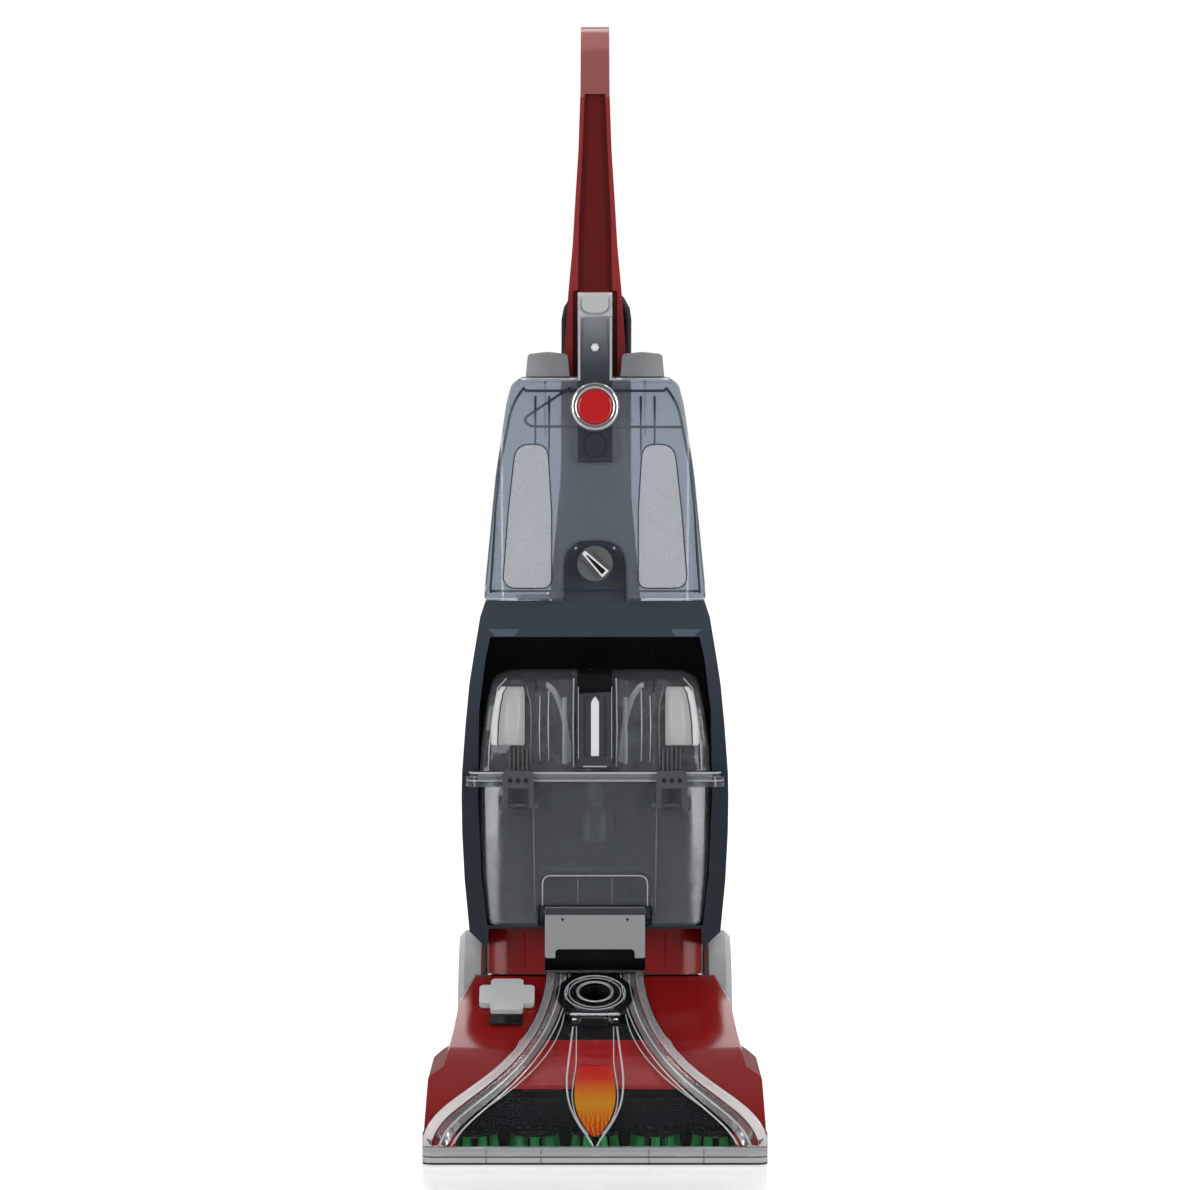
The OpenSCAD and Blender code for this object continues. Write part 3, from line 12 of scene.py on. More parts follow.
import bmesh
import bpy
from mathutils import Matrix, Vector

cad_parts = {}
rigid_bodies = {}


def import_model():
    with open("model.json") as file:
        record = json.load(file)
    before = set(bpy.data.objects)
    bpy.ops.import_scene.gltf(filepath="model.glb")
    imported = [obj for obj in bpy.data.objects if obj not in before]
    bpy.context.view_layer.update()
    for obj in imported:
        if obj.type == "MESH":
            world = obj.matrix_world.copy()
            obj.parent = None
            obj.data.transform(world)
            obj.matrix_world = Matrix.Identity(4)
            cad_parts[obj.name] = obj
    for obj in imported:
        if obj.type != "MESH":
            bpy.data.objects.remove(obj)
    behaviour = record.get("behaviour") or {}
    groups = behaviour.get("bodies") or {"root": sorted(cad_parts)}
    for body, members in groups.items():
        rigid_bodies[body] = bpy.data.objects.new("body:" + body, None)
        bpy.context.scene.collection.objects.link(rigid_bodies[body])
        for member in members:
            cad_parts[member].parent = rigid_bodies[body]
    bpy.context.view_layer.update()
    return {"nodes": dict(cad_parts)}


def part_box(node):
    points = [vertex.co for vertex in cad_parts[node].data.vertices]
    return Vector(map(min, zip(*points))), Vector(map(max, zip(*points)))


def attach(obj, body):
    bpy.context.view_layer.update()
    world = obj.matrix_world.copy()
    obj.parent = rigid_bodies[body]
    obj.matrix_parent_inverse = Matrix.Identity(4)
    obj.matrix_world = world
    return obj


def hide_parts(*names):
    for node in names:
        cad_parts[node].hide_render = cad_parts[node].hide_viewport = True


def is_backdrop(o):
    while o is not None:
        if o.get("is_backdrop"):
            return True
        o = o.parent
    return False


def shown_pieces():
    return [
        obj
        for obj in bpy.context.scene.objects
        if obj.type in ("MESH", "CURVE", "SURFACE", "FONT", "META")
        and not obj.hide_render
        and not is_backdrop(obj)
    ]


for leftover in list(bpy.data.objects):
    bpy.data.objects.remove(leftover)
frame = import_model()
nodes = frame["nodes"]

# %% [markdown]
# ## Camera
# A long lens from far away keeps the machine's sides nearly parallel, as in a catalogue picture. The
# camera stands a little above the middle of the machine and looks slightly down at it.

# %% Camera
def placed(name, data):
    """A new object in the scene."""
    obj = bpy.data.objects.new(name, data)
    bpy.context.collection.objects.link(obj)
    return obj


def aimed(name, data, place, target):
    """A camera or lamp at place that looks at target."""
    obj = placed(name, data)
    obj.location = place
    obj.rotation_mode = "QUATERNION"
    obj.rotation_quaternion = (Vector(target) - Vector(place)).to_track_quat("-Z", "Y")
    return obj


camera = aimed("camera", bpy.data.cameras.new("camera"), (0, -4.5, 0.7), (0, 0, 0.5535))
camera.data.lens = 132.7
camera.data.sensor_width = 36
camera.data.clip_end = 60
bpy.context.scene.camera = camera
bpy.context.scene.view_settings.view_transform = "Standard"
print("camera:", camera.data.lens, "mm lens at", tuple(round(x, 3) for x in camera.location))

# %% [markdown]
# ## Power cord
# The real cord is a round rubber mains lead, wound as a long flat loop round the two hooks behind the
# handle. A poly curve through the same points as the CAD tube, with a round bevel, gives a smooth
# cord whose length can be measured.

# %% The cord's route
CORD_D = 0.0075
LOOP_STEPS, LOOP_POINTS = 24, 134
RUN = 0.246
HOOK_TOP = 0.839
HOOK_LOW = HOOK_TOP - RUN
HANK_X, HANK_Y = 0.003, 0.09905
BOOT_TOP = Vector((0, 0, 0.575))
PLUG_TOP = Vector((-0.024, 0.15, 0.612))


def climbed(u, at):
    """How far, 0 to 1, the loop has climbed one layer outwards round turn number at."""
    return min(1, max(0, (u - at) / 0.125 + 0.5))


def loop_point(k):
    """The k-th point of the wound cord, counted from the boot."""
    u, q = k / LOOP_STEPS, k % LOOP_STEPS
    r = 0.023 + (CORD_D + 0.0005) * abs((u + 0.4375) % 3 - 1.5)
    if q < 3:
        x, z = r, HOOK_LOW + RUN * q / 3
    elif q < 12:
        a = math.radians((q - 3) * 20)
        x, z = r * math.cos(a), HOOK_TOP + r * math.sin(a)
    elif q < 15:
        x, z = -r, HOOK_TOP - RUN * (q - 12) / 3
    else:
        a = math.radians((q - 6) * 20)
        x, z = r * math.cos(a), HOOK_LOW + r * math.sin(a)
    y = HANK_Y + (CORD_D + 0.00045) * sum(climbed(u, at) for at in (1.0625, 2.5625, 4.0625))
    return Vector((HANK_X + x, y, z))


def bezier(a, b, c, d, steps):
    """Points along one cubic curve from a to d."""
    return [
        (1 - t) ** 3 * a + 3 * (1 - t) ** 2 * t * b + 3 * (1 - t) * t * t * c + t**3 * d
        for t in (k / steps for k in range(steps + 1))
    ]


down = Vector((0, 0, -CORD_D))
turns = [loop_point(k) for k in range(LOOP_POINTS)]
hank_start, hank_end = turns[0] + down, turns[-1] + down
BOOT_TOP.x, BOOT_TOP.y = hank_start.x, hank_start.y
leaving, arriving = hank_end + Vector((0, 0, -0.056)), PLUG_TOP + Vector((0, 0, 0.062))
tail = bezier(hank_end + down, leaving, arriving, PLUG_TOP - down, 10)
route = [BOOT_TOP, hank_start] + turns + [hank_end] + tail + [PLUG_TOP]

# %% [markdown]
# ## Materials
# Moulded plastic is never quite smooth: it has a fine moulding texture, faint flow differences in
# gloss and a little dust. Each material below is one Principled shader whose colour, roughness and
# bump come from noise at the scale of the real finish, in object coordinates, so no picture is used.

# %% Node helpers
class Nodes:
    """Shorthand for the node tree of a material or of the world."""

    def __init__(self, owner, shader="Principled BSDF", space="Object"):
        owner.use_nodes = True
        self.owner, self.tree = owner, owner.node_tree
        self.shader = self.tree.nodes[shader]
        self.place = self.add("ShaderNodeTexCoord").outputs[space]

    def add(self, kind, **settings):
        node = self.tree.nodes.new(kind)
        for key, value in settings.items():
            setattr(node, key, value)
        return node

    def put(self, socket, value):
        """Links the socket to value where that is a node's output, and sets it otherwise."""
        if isinstance(value, bpy.types.NodeSocket):
            self.tree.links.new(value, socket)
        else:
            socket.default_value = (*value, 1) if socket.type == "RGBA" else value

    def fill(self, node, **values):
        """Puts each value in the node's input of that name."""
        for key, value in values.items():
            self.put(node.inputs[key.replace("_", " ")], value)
        return node.outputs

    def feed(self, node, *values):
        """Puts the values in the node's first inputs."""
        for socket, value in zip(node.inputs, values):
            self.put(socket, value)
        return node.outputs[0]

    def set(self, **values):
        self.fill(self.shader, **values)

    def noise(self, scale, detail=2.0, stretch=(1, 1, 1)):
        """A grey noise of about 1/scale metres."""
        spread = self.fill(self.add("ShaderNodeMapping"), Vector=self.place, Scale=stretch)[0]
        return self.fill(self.add("ShaderNodeTexNoise"), Vector=spread, Scale=scale, Detail=detail)["Fac"]

    def ramp(self, value, low, high, start=0.3, end=0.7):
        """value from start to end turned into a number from low to high."""
        node = self.add("ShaderNodeMapRange")
        return self.fill(node, Value=value, From_Min=start, From_Max=end, To_Min=low, To_Max=high)["Result"]

    def blend(self, value, a, b):
        """Colour a where value is 0 and b where it is 1."""
        node = self.add("ShaderNodeMix", data_type="RGBA")
        for k, entry in ((0, value), (6, a), (7, b)):
            self.put(node.inputs[k], entry)
        return node.outputs[2]

    def colours(self, value, stops):
        """The colour at value, 0 to 1, in a run of colours (place, colour)."""
        node = self.add("ShaderNodeValToRGB")
        for k, (place, colour) in enumerate(stops):
            elements = node.color_ramp.elements
            stop = elements[k] if k < 2 else elements.new(place)
            stop.position, stop.color = place, (*colour, 1)
        return self.feed(node, value)

    def bump(self, value, height, strength=1.0):
        """Tilts the surface as if value stood that high, in metres."""
        node = self.add("ShaderNodeBump")
        self.set(Normal=self.fill(node, Distance=height, Strength=strength, Height=value)[0])

    def maths(self, operation, a, b):
        """a and b put together; either may be a number."""
        return self.feed(self.add("ShaderNodeMath", operation=operation), a, b)

    def plus(self, a, b):
        return self.maths("ADD", a, b)

    def times(self, a, b):
        return self.maths("MULTIPLY", a, b)

    def axis(self, letter):
        """The X, Y or Z of the place."""
        return self.fill(self.add("ShaderNodeSeparateXYZ"), Vector=self.place)[letter]


print("node helpers:", [key for key in vars(Nodes) if not key.startswith("_")])

# %% [markdown]
# These nodes make three kinds of surface: moulded plastic, clear plastic and metal. Clear parts let
# shadow rays through, so that what is inside them is lit as it is in the real machine.

# %% Plastic, clear plastic and metal
def new_material(name):
    return Nodes(bpy.data.materials.new(name))


def crown(n, amount, rolled):
    """A height that falls with the square of x, and towards the sides also with its fourth power."""
    x = n.axis("X")
    square = n.times(x, x)
    return n.plus(n.times(square, -amount), n.times(n.times(square, square), -rolled))


def moulded(n, roughness, grain=900, bump=0.000006, rolled=0.0):
    """Gives n's shader an uneven gloss and a fine grain, and perhaps sides that roll back."""
    n.set(Roughness=n.ramp(n.noise(45, 4), *roughness, 0.15, 0.85))
    if rolled:
        n.bump(n.plus(n.times(n.noise(grain, 2), bump), crown(n, 0.0, rolled)), 1.0)
    else:
        n.bump(n.noise(grain, 2), bump, 0.5)


def plastic(name, colour, darker, roughness=(0.2, 0.3), grain=900, coat=0.0, shine=0.3, **more):
    """Moulded plastic with flow marks in its colour and gloss and a fine grain."""
    n = new_material(name)
    n.set(Base_Color=n.blend(n.ramp(n.noise(9, 3), 0, 1, 0.15, 0.85), colour, darker))
    moulded(n, roughness, grain, **more)
    n.set(Coat_Weight=coat, Coat_Roughness=0.06, Specular_IOR_Level=shine)
    return n.owner


def see_through(n, light):
    """Lets light of this colour through n's surface, so that what is inside is lit."""
    shadow = n.add("ShaderNodeLightPath").outputs["Is Shadow Ray"]
    window = n.feed(n.add("ShaderNodeBsdfTransparent"), light)
    surface = n.feed(n.add("ShaderNodeMixShader"), shadow, n.shader.outputs[0], window)
    n.fill(n.tree.nodes["Material Output"], Surface=surface)


def clear(name, tint, roughness=0.03, ior=1.45, haze=0.0, crowned=0.0, waves=0.0003, rolled=0.0):
    """Clear moulded plastic with slow waves in its wall, a little haze and perhaps a crowned front."""
    n = new_material(name)
    n.set(Base_Color=tint, Transmission_Weight=1.0 - haze, IOR=ior)
    n.set(Roughness=n.ramp(n.noise(30, 3), roughness, roughness * 2.2))
    height = n.times(n.noise(60 if waves < 0.001 else 22, 2), waves)
    if crowned:
        height = n.plus(height, crown(n, crowned, rolled))
    n.bump(height, 1.0, 1.0 if crowned else 0.3)
    see_through(n, tuple(c**0.4 for c in tint))
    return n.owner


def metal(name, colour, roughness=(0.15, 0.3), stretch=(1, 1, 1), scale=400):
    """Metal whose fine lines run across the stretched direction."""
    n = new_material(name)
    lines = n.noise(scale, 3, stretch)
    n.set(Base_Color=colour, Metallic=1.0, Roughness=n.ramp(lines, *roughness))
    n.bump(lines, 0.00003, 0.3)
    return n.owner


print("kinds of surface:", [kind.__name__ for kind in (plastic, clear, metal)])

# %% [markdown]
# The machine has three main plastics: a deep red with a high gloss, a blue-grey slate with a satin
# gloss, and clear plastics that are colourless at the nozzle, smoky at the recovery tank and slightly
# blue at the solution tank.

# %% The machine's materials
DEEP_RED = ((0.235, 0.0085, 0.0085), (0.2, 0.007, 0.008))
RED = plastic("red_gloss", *DEEP_RED, (0.08, 0.12), 700, shine=0.35)
# Painted shade: the red handle is a darker red than the hood, for its recessed front.
RED_HANDLE_SHADED = plastic("red_handle_painted_shade", (0.14, 0.008, 0.008), (0.115, 0.007, 0.007), grain=500, shine=0.4)
RED_FOOT = plastic("red_foot_gloss", *DEEP_RED, (0.12, 0.18), 700, rolled=120.0)
SLATE = plastic("slate_satin", (0.034, 0.045, 0.061), (0.028, 0.038, 0.053), (0.28, 0.4), shine=0.35)
BLACK = plastic("black_mould", (0.008, 0.008, 0.009), (0.012, 0.012, 0.013), (0.35, 0.5), 600, shine=0.12)
LIGHT_GREY = plastic("light_grey_gloss", (0.56, 0.575, 0.58), (0.54, 0.555, 0.56), (0.25, 0.35))
WHEEL_GREY = plastic("wheel_grey", (0.46, 0.475, 0.48), (0.44, 0.455, 0.46), (0.3, 0.4))
FOOT_GREY = plastic("tank_foot_grey", (0.3, 0.31, 0.32), (0.28, 0.29, 0.3), (0.3, 0.4))
PADDLE_GREY = plastic("paddle_grey", (0.3, 0.31, 0.315), (0.285, 0.295, 0.3), (0.3, 0.4))
DARK_GREY = plastic("dark_grey_satin", (0.05, 0.054, 0.06), (0.042, 0.046, 0.052), (0.25, 0.4))
WHITE = plastic("white_gloss", (0.78, 0.79, 0.8), (0.76, 0.77, 0.78), (0.15, 0.25))
GEAR = plastic("dark_gear_plastic", (0.012, 0.013, 0.014), (0.009, 0.01, 0.011), (0.4, 0.5), shine=0.1)
# Black for the brush housing, the pan and the spray bar, darkened far below the other black plastics as
# painted shade of the chamber under the nozzle.
CAVITY_SHADE = plastic(
    "cavity_black_painted_shade", (0.0015, 0.002, 0.003), (0.0022, 0.0028, 0.0038), (0.5, 0.6), shine=0.02
)
LATCH_GREY = plastic("latch_grey", (0.085, 0.09, 0.096), (0.07, 0.075, 0.08), (0.22, 0.35))
KNOB_GREY = plastic("knob_grey", (0.125, 0.127, 0.13), (0.11, 0.112, 0.115), (0.25, 0.35))
BUTTON_GREY = plastic("button_grey", (0.4, 0.41, 0.42), (0.38, 0.39, 0.4), (0.18, 0.28))
RUBBER = plastic(
    "black_rubber", (0.008, 0.008, 0.009), (0.013, 0.013, 0.013), (0.5, 0.65), 1400, bump=0.00002
)
BRISTLE = plastic("green_bristle", (0.03, 0.36, 0.09), (0.02, 0.26, 0.06), (0.35, 0.5), 1500)
NOZZLE = clear("nozzle_clear", (0.93, 0.95, 0.96), 0.02, 1.2)
SMOKE = clear("tank_smoke", (0.62, 0.65, 0.69), 0.05, haze=0.04, crowned=-0.756, waves=0.00002, rolled=49.4)
LID_SMOKE = clear("lid_smoke", (0.7, 0.73, 0.76), 0.03, haze=0.03, crowned=1.05, waves=0.003)
BLUE_SMOKE = clear("tank_blue_smoke", (0.5, 0.54, 0.59), 0.03, 1.3, haze=0.1, crowned=0.5, waves=0.00003)
STEEL = metal("turned_steel", (0.62, 0.62, 0.64), (0.2, 0.4), (1, 1, 12))
CHROME = metal("chrome_plate", (0.75, 0.76, 0.78), (0.06, 0.12), scale=60)
ALUMINIUM = metal("cast_aluminium", (0.7, 0.71, 0.73), (0.3, 0.45))
print("materials:", len(bpy.data.materials))

# %% Materials that change with height
def striped(name, low, high, stops, roughness, transmission=0.0):
    """Plastic whose colour runs with height, from z low to z high, through stops (place, colour)."""
    n = new_material(name)
    n.set(Base_Color=n.colours(n.ramp(n.axis("Z"), 0, 1, low, high), stops))
    moulded(n, roughness)
    n.set(Specular_IOR_Level=0.35, Transmission_Weight=transmission)
    return n.owner


# Painted shade: the body shell's slate is dark low down and lighter towards its top, for how the light
# falls on it.
SHELL_SHADE_COLOURS = [
    (0.0, (0.016, 0.022, 0.032)), (0.45, (0.018, 0.025, 0.036)), (0.75, (0.03, 0.04, 0.054)),
    (1.0, (0.044, 0.054, 0.068)),
]
SHELL_SLATE_SHADED = striped("shell_slate_painted_shade", 0.22, 0.55, SHELL_SHADE_COLOURS, (0.28, 0.4))
# Painted light: the carry handle's grey runs from dark low down to pale at its top, which leans back
# towards the light.
CARRY_LIGHT_COLOURS = [
    (0.0, (0.03, 0.038, 0.048)), (0.35, (0.045, 0.053, 0.065)), (0.65, (0.115, 0.125, 0.14)),
    (1.0, (0.23, 0.24, 0.255)),
]
SMOKY_GLOSS_LIT = striped("smoky_gloss_painted_light", 0.76, 0.838, CARRY_LIGHT_COLOURS, (0.14, 0.22))
PALE, DARK = (0.62, 0.63, 0.64), (0.03, 0.032, 0.035)
LIP_COLOURS = [
    (0.0, DARK), (0.1, DARK), (0.13, PALE), (0.39, PALE), (0.41, DARK), (0.46, DARK), (0.48, PALE),
    (0.8, (0.45, 0.46, 0.47)), (1.0, (0.5, 0.51, 0.52)),
]
LIP = striped("lip_clear_grey", 0.0, 0.0175, LIP_COLOURS, (0.12, 0.2), 0.25)
print("striped:", [material.name for material in (SHELL_SLATE_SHADED, SMOKY_GLOSS_LIT, LIP)])

# %% [markdown]
# ## The hard parts' finish
# A moulded edge is never knife sharp. Each CAD part keeps its mesh, and gets a weld, a small bevel
# and smooth shading, so that every edge catches the light. The cord tubes are replaced further down.

# %% Materials and rounded edges on the CAD parts
BRISTLE_RINGS = tuple(f"brush_bristles_{k}" for k in range(1, 6))
CORD_TUBES = ("cord_lead", "cord_hank")
FINISH = {
    RED: ("base_hood",),
    RED_FOOT: ("body_foot",),
    RED_HANDLE_SHADED: ("handle_front",),
    SHELL_SLATE_SHADED: ("body_shell",),
    LIP: ("nozzle_lip",),
    CAVITY_SHADE: ("base_pan", "brush_housing", "spray_bar"),
    LATCH_GREY: ("tank_latch_left", "tank_latch_right"),
    KNOB_GREY: ("selector_knob",),
    BUTTON_GREY: ("carry_button",),
    SLATE: ("rear_cover", "handle_rear", "cord_hook_upper", "cord_hook_lower"),
    BLACK: ("fan_housing", "power_switch", "recline_pedal", "solution_cap", "valve_receiver", "trigger"),
    SMOKY_GLOSS_LIT: ("carry_handle",),
    LIGHT_GREY: ("power_pedal",),
    WHEEL_GREY: ("wheel_left", "wheel_right"),
    FOOT_GREY: ("tank_feet",),
    PADDLE_GREY: ("release_paddle",),
    DARK_GREY: ("drive_pulley", "tank_float", "solution_pump", "recovery_handle"),
    GEAR: tuple(f"brush_gear_{k}" for k in range(1, 6)),
    BRISTLE: BRISTLE_RINGS,
    NOZZLE: ("nozzle_cover", "port_door"),
    SMOKE: ("recovery_tank",),
    LID_SMOKE: ("recovery_lid",),
    BLUE_SMOKE: ("solution_tank",),
    STEEL: ("brush_pins", "suction_motor", "motor_shaft", "port_hinge_pin", "wheel_axle", "trigger_rod"),
    CHROME: ("badge",),
    ALUMINIUM: ("fan_wheel",),
    RUBBER: ("drive_belt", "cord_boot", "cord_plug", *CORD_TUBES),
}
PLAIN_EDGES = (*BRISTLE_RINGS, *CORD_TUBES)
EDGE = 0.0007
FINE_EDGES = {"power_pedal": 0.0012, "release_paddle": 0.0012, "handle_front": 0.0015, "base_hood": 0.0012}


def paint(obj, material):
    """Puts one material on the whole of obj."""
    obj.data.materials.clear()
    obj.data.materials.append(material)


def soften(obj, width):
    """Welds, bevels and smooths obj's edges without touching its own vertices."""
    for name in ("custom_normal", "sharp_face", "sharp_edge"):
        if name in obj.data.attributes:
            obj.data.attributes.remove(obj.data.attributes[name])
    obj.data.polygons.foreach_set("use_smooth", [True] * len(obj.data.polygons))
    weld = obj.modifiers.new("weld", "WELD")
    weld.merge_threshold = 0.00001
    bevel = obj.modifiers.new("bevel", "BEVEL")
    bevel.width, bevel.segments = width, 2
    bevel.limit_method, bevel.angle_limit = "ANGLE", math.radians(30)
    bevel.harden_normals = True
    bevel.use_clamp_overlap = True


for material, names in FINISH.items():
    for name in names:
        paint(nodes[name], material)
        if name not in PLAIN_EDGES:
            soften(nodes[name], FINE_EDGES.get(name, EDGE))
unpainted = [n for n in nodes if not any(n in names for names in FINISH.values())]
print("without a material:", unpainted)

# %% [markdown]
# The cord itself: one curve for the whole lead, from the boot to the plug.

# %% Power cord
data = bpy.data.curves.new("power_cord", "CURVE")
data.dimensions = "3D"
data.bevel_depth = CORD_D / 2
data.bevel_resolution = data.resolution_u = 3
spline = data.splines.new("POLY")
spline.points.add(len(route) - 1)
for point, place in zip(spline.points, route):
    point.co = (*place, 1)
spline.use_smooth = True
cord = placed("power_cord", data)
paint(cord, RUBBER)
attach(cord, "upright")
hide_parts("cord_lead", "cord_hank")
print("one curve in place of", CORD_TUBES)

# %% [markdown]
# ## Tools for the fine details
# Most of the small trim is one of four things: a tube along a line, a flat plate with a rounded
# outline, a thin sheet, or a band that lies on the curved nose. Each tool below builds one closed
# mesh. Trim that comes in pairs is drawn once, on the right, and mirrored by its side, -1 or 1.

# %% Mesh helpers
SIDES = ((-1, "left"), (1, "right"))
ON_NOZZLE = ("base", "clear_plastic")
ON_RECOVERY = ("recovery", "smoke_plastic")
ON_SOLUTION = ("solution", "blue_smoke_plastic")


def mesh_piece(name, verts, faces, material, body, slot):
    """A new smooth mesh piece that rides on body."""
    data = bpy.data.meshes.new(name)
    data.from_pydata([tuple(v) for v in verts], [], faces)
    shape = bmesh.new()
    shape.from_mesh(data)
    bmesh.ops.recalc_face_normals(shape, faces=shape.faces)
    shape.to_mesh(data)
    shape.free()
    data.polygons.foreach_set("use_smooth", [True] * len(data.polygons))
    obj = placed(name, data)
    paint(obj, material)
    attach(obj, body)
    return obj


def count(start):
    """How many new pieces have a name that starts so."""
    return sum(o.name.startswith(start) and o.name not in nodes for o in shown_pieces())


def sided(side, points):
    """The points, mirrored in x where side is -1."""
    return [(side * p[0], *p[1:]) for p in points]


def oblong(x0, x1, z0, z1, *radius):
    """The corners of a rectangle, perhaps with a radius each."""
    return [(x, z, *radius) for x, z in ((x0, z0), (x1, z0), (x1, z1), (x0, z1))]


def around(k, count, radius=1.0):
    """Point number k of count on a flat circle."""
    a = 2 * math.pi * k / count
    return Vector((radius * math.cos(a), radius * math.sin(a), 0))


def ring_faces(rows, count, start=0, closed=False):
    """The faces between rows of count points, where each row is a ring; closed joins the last row too."""
    faces = []
    for i in range(rows if closed else rows - 1):
        a, b = start + i * count, start + (i + 1) % rows * count
        for j in range(count):
            k = (j + 1) % count
            faces.append((a + j, a + k, b + k, b + j))
    return faces


def end_caps(total, count):
    """The faces that close the first and the last ring of a mesh with total points."""
    return [tuple(range(count)), tuple(range(total - 1, total - count - 1, -1))]


print("most trim rides on", [body for body, slot in (ON_NOZZLE, ON_RECOVERY, ON_SOLUTION)])

# %% [markdown]
# A plate is two copies of one outline, joined round the edge. A tube is a row of rings. A sheet is two
# grids of points, joined round their rim. All of them are closed, as real parts are.

# %% Plates, tubes and sheets
def rounded(corners):
    """The outline through corners (x, z) or (x, z, radius), with its corners rounded."""
    outline = []
    for i, corner in enumerate(corners):
        here = Vector(corner[:2])
        if len(corner) < 3:
            outline.append(here)
            continue
        before = (Vector(corners[i - 1][:2]) - here).normalized() * corner[2]
        after = (Vector(corners[(i + 1) % len(corners)][:2]) - here).normalized() * corner[2]
        for k in range(7):
            t = k / 6
            outline.append(here + before * (1 - t) ** 2 + after * t**2)
    return outline


def plate(name, corners, front, back, material, body, slot, bevel=0.0003):
    """A flat plate with a rounded outline in x and z, from y = front to y = back."""
    outline = rounded(corners)
    n = len(outline)
    verts = [(p.x, y, p.y) for y in (front, back) for p in outline]
    obj = mesh_piece(name, verts, end_caps(2 * n, n) + ring_faces(2, n), material, body, slot)
    edge = obj.modifiers.new("edge", "BEVEL")
    edge.width, edge.segments, edge.limit_method = bevel, 2, "ANGLE"
    edge.harden_normals = True
    return obj


def tube(name, points, radius, material, body, slot, closed=False, sides=8):
    """A round bar along the points."""
    points = [Vector(p) for p in points]
    n = len(points)
    verts, across = [], None
    for i, p in enumerate(points):
        ahead = points[(i + 1) % n] if closed or i < n - 1 else p
        behind = points[i - 1] if closed or i > 0 else p
        along = (ahead - behind).normalized()
        if across is None:
            across = along.orthogonal().normalized()
        across = (across - along * across.dot(along)).normalized()
        up = along.cross(across)
        for turn in (around(k, sides) for k in range(sides)):
            verts.append(p + (across * turn.x + up * turn.y) * radius)
    faces = ring_faces(n, sides, closed=closed) + ([] if closed else end_caps(n * sides, sides))
    return mesh_piece(name, verts, faces, material, body, slot)


def closed_sheet(name, layers, row, material, body, slot):
    """A thin sheet from its two layers of points, each with row points to a row."""
    total = len(layers[0])
    rows = total // row
    corners = [r * row + c for r in range(rows - 1) for c in range(row - 1)]
    faces = [(a, a + 1, a + row + 1, a + row) for layer in (0, total) for a in (layer + k for k in corners)]
    rim = list(range(row)) + [r * row + row - 1 for r in range(1, rows)]
    rim += [total - 1 - c for c in range(1, row)] + [r * row for r in range(rows - 2, 0, -1)]
    faces += [(a, b, b + total, a + total) for a, b in zip(rim, rim[1:] + rim[:1])]
    return mesh_piece(name, layers[0] + layers[1], faces, material, body, slot)


print("tools:", [tool.__name__ for tool in (plate, tube, closed_sheet)])

# %% [markdown]
# The nose is one cubic curve from the lip up to the deck, the same as in the CAD model. A place on it
# is given by its x and y, and a lift along its normal. Nothing goes past the front of the lip.

# %% The nose curve
FRONT_Y = -0.21
NOSE_STEPS = 80
NOSE_ENDS = ((FRONT_Y, 0.018), (-0.2, 0.056), (-0.11, 0.128), (-0.018, 0.166))
NOSE = bezier(*(Vector(p) for p in NOSE_ENDS), NOSE_STEPS)
BELL_X = 0.1695


def on_nose(x, y, lift=0.0):
    """The point of the nose at x and y, lifted off it."""
    y = min(max(y, NOSE[0].x), NOSE[-1].x)
    k = next(i for i in range(NOSE_STEPS) if NOSE[i + 1].x >= y)
    a, b = NOSE[k], NOSE[k + 1]
    p = a.lerp(b, (y - a.x) / (b.x - a.x))
    along = (b - a).normalized()
    return Vector((x, max(p.x - along.y * lift, FRONT_Y), p.y + along.x * lift))


def nose_y(z):
    """The y at which the nose has height z."""
    k = next((i for i in range(NOSE_STEPS) if NOSE[i + 1].y >= z), NOSE_STEPS - 1)
    a, b = NOSE[k], NOSE[k + 1]
    return a.x + (b.x - a.x) * min(max((z - a.y) / (b.y - a.y), 0), 1)


def smooth_line(ends, steps=16):
    """Points along the cubic curve with these four ends."""
    return [tuple(p) for p in bezier(*(Vector(e) for e in ends), steps)]


def bell_line(inset):
    """One side of the nozzle's bell, from the lip up to the deck, moved inwards by inset."""
    ends = ((BELL_X, FRONT_Y + 0.004), (0.145, FRONT_Y + 0.042), (0.052, FRONT_Y + 0.045), (0.05, -0.02))
    edge = [Vector((BELL_X, FRONT_Y)), Vector((BELL_X, FRONT_Y + 0.002))]
    edge += [Vector(p) for p in smooth_line(ends, 30)]
    line = []
    for i, p in enumerate(edge):
        along = (edge[min(i + 1, len(edge) - 1)] - edge[max(i - 1, 0)]).normalized()
        line.append(p + Vector((-along.y, along.x)) * inset)
    return line


def band(name, profile, material, side, start=0):
    """A band along the bell. profile lists (inset, lift) round its closed cross-section."""
    lines = [(bell_line(inset)[start:], lift) for inset, lift in profile]
    n, m = len(lines[0][0]), len(profile)
    verts = [on_nose(side * line[i].x, line[i].y, lift) for i in range(n) for line, lift in lines]
    return mesh_piece(name, verts, ring_faces(n, m) + end_caps(n * m, m), material, *ON_NOZZLE)


print("the nose rises from", tuple(NOSE[0]), "to", tuple(NOSE[-1]))

# %% [markdown]
# ## Clear nozzle
# The real nozzle is one thick clear moulding. Light gathers in its rim, so the rim reads as a bright
# band, and thin moulded ridges fan out from the hose port to the lip. They are modelled as crowned
# bands on the nose, in a milkier version of the clear plastic whose frosting is painted highlight,
# with faint bands of painted sheen beside the rim.

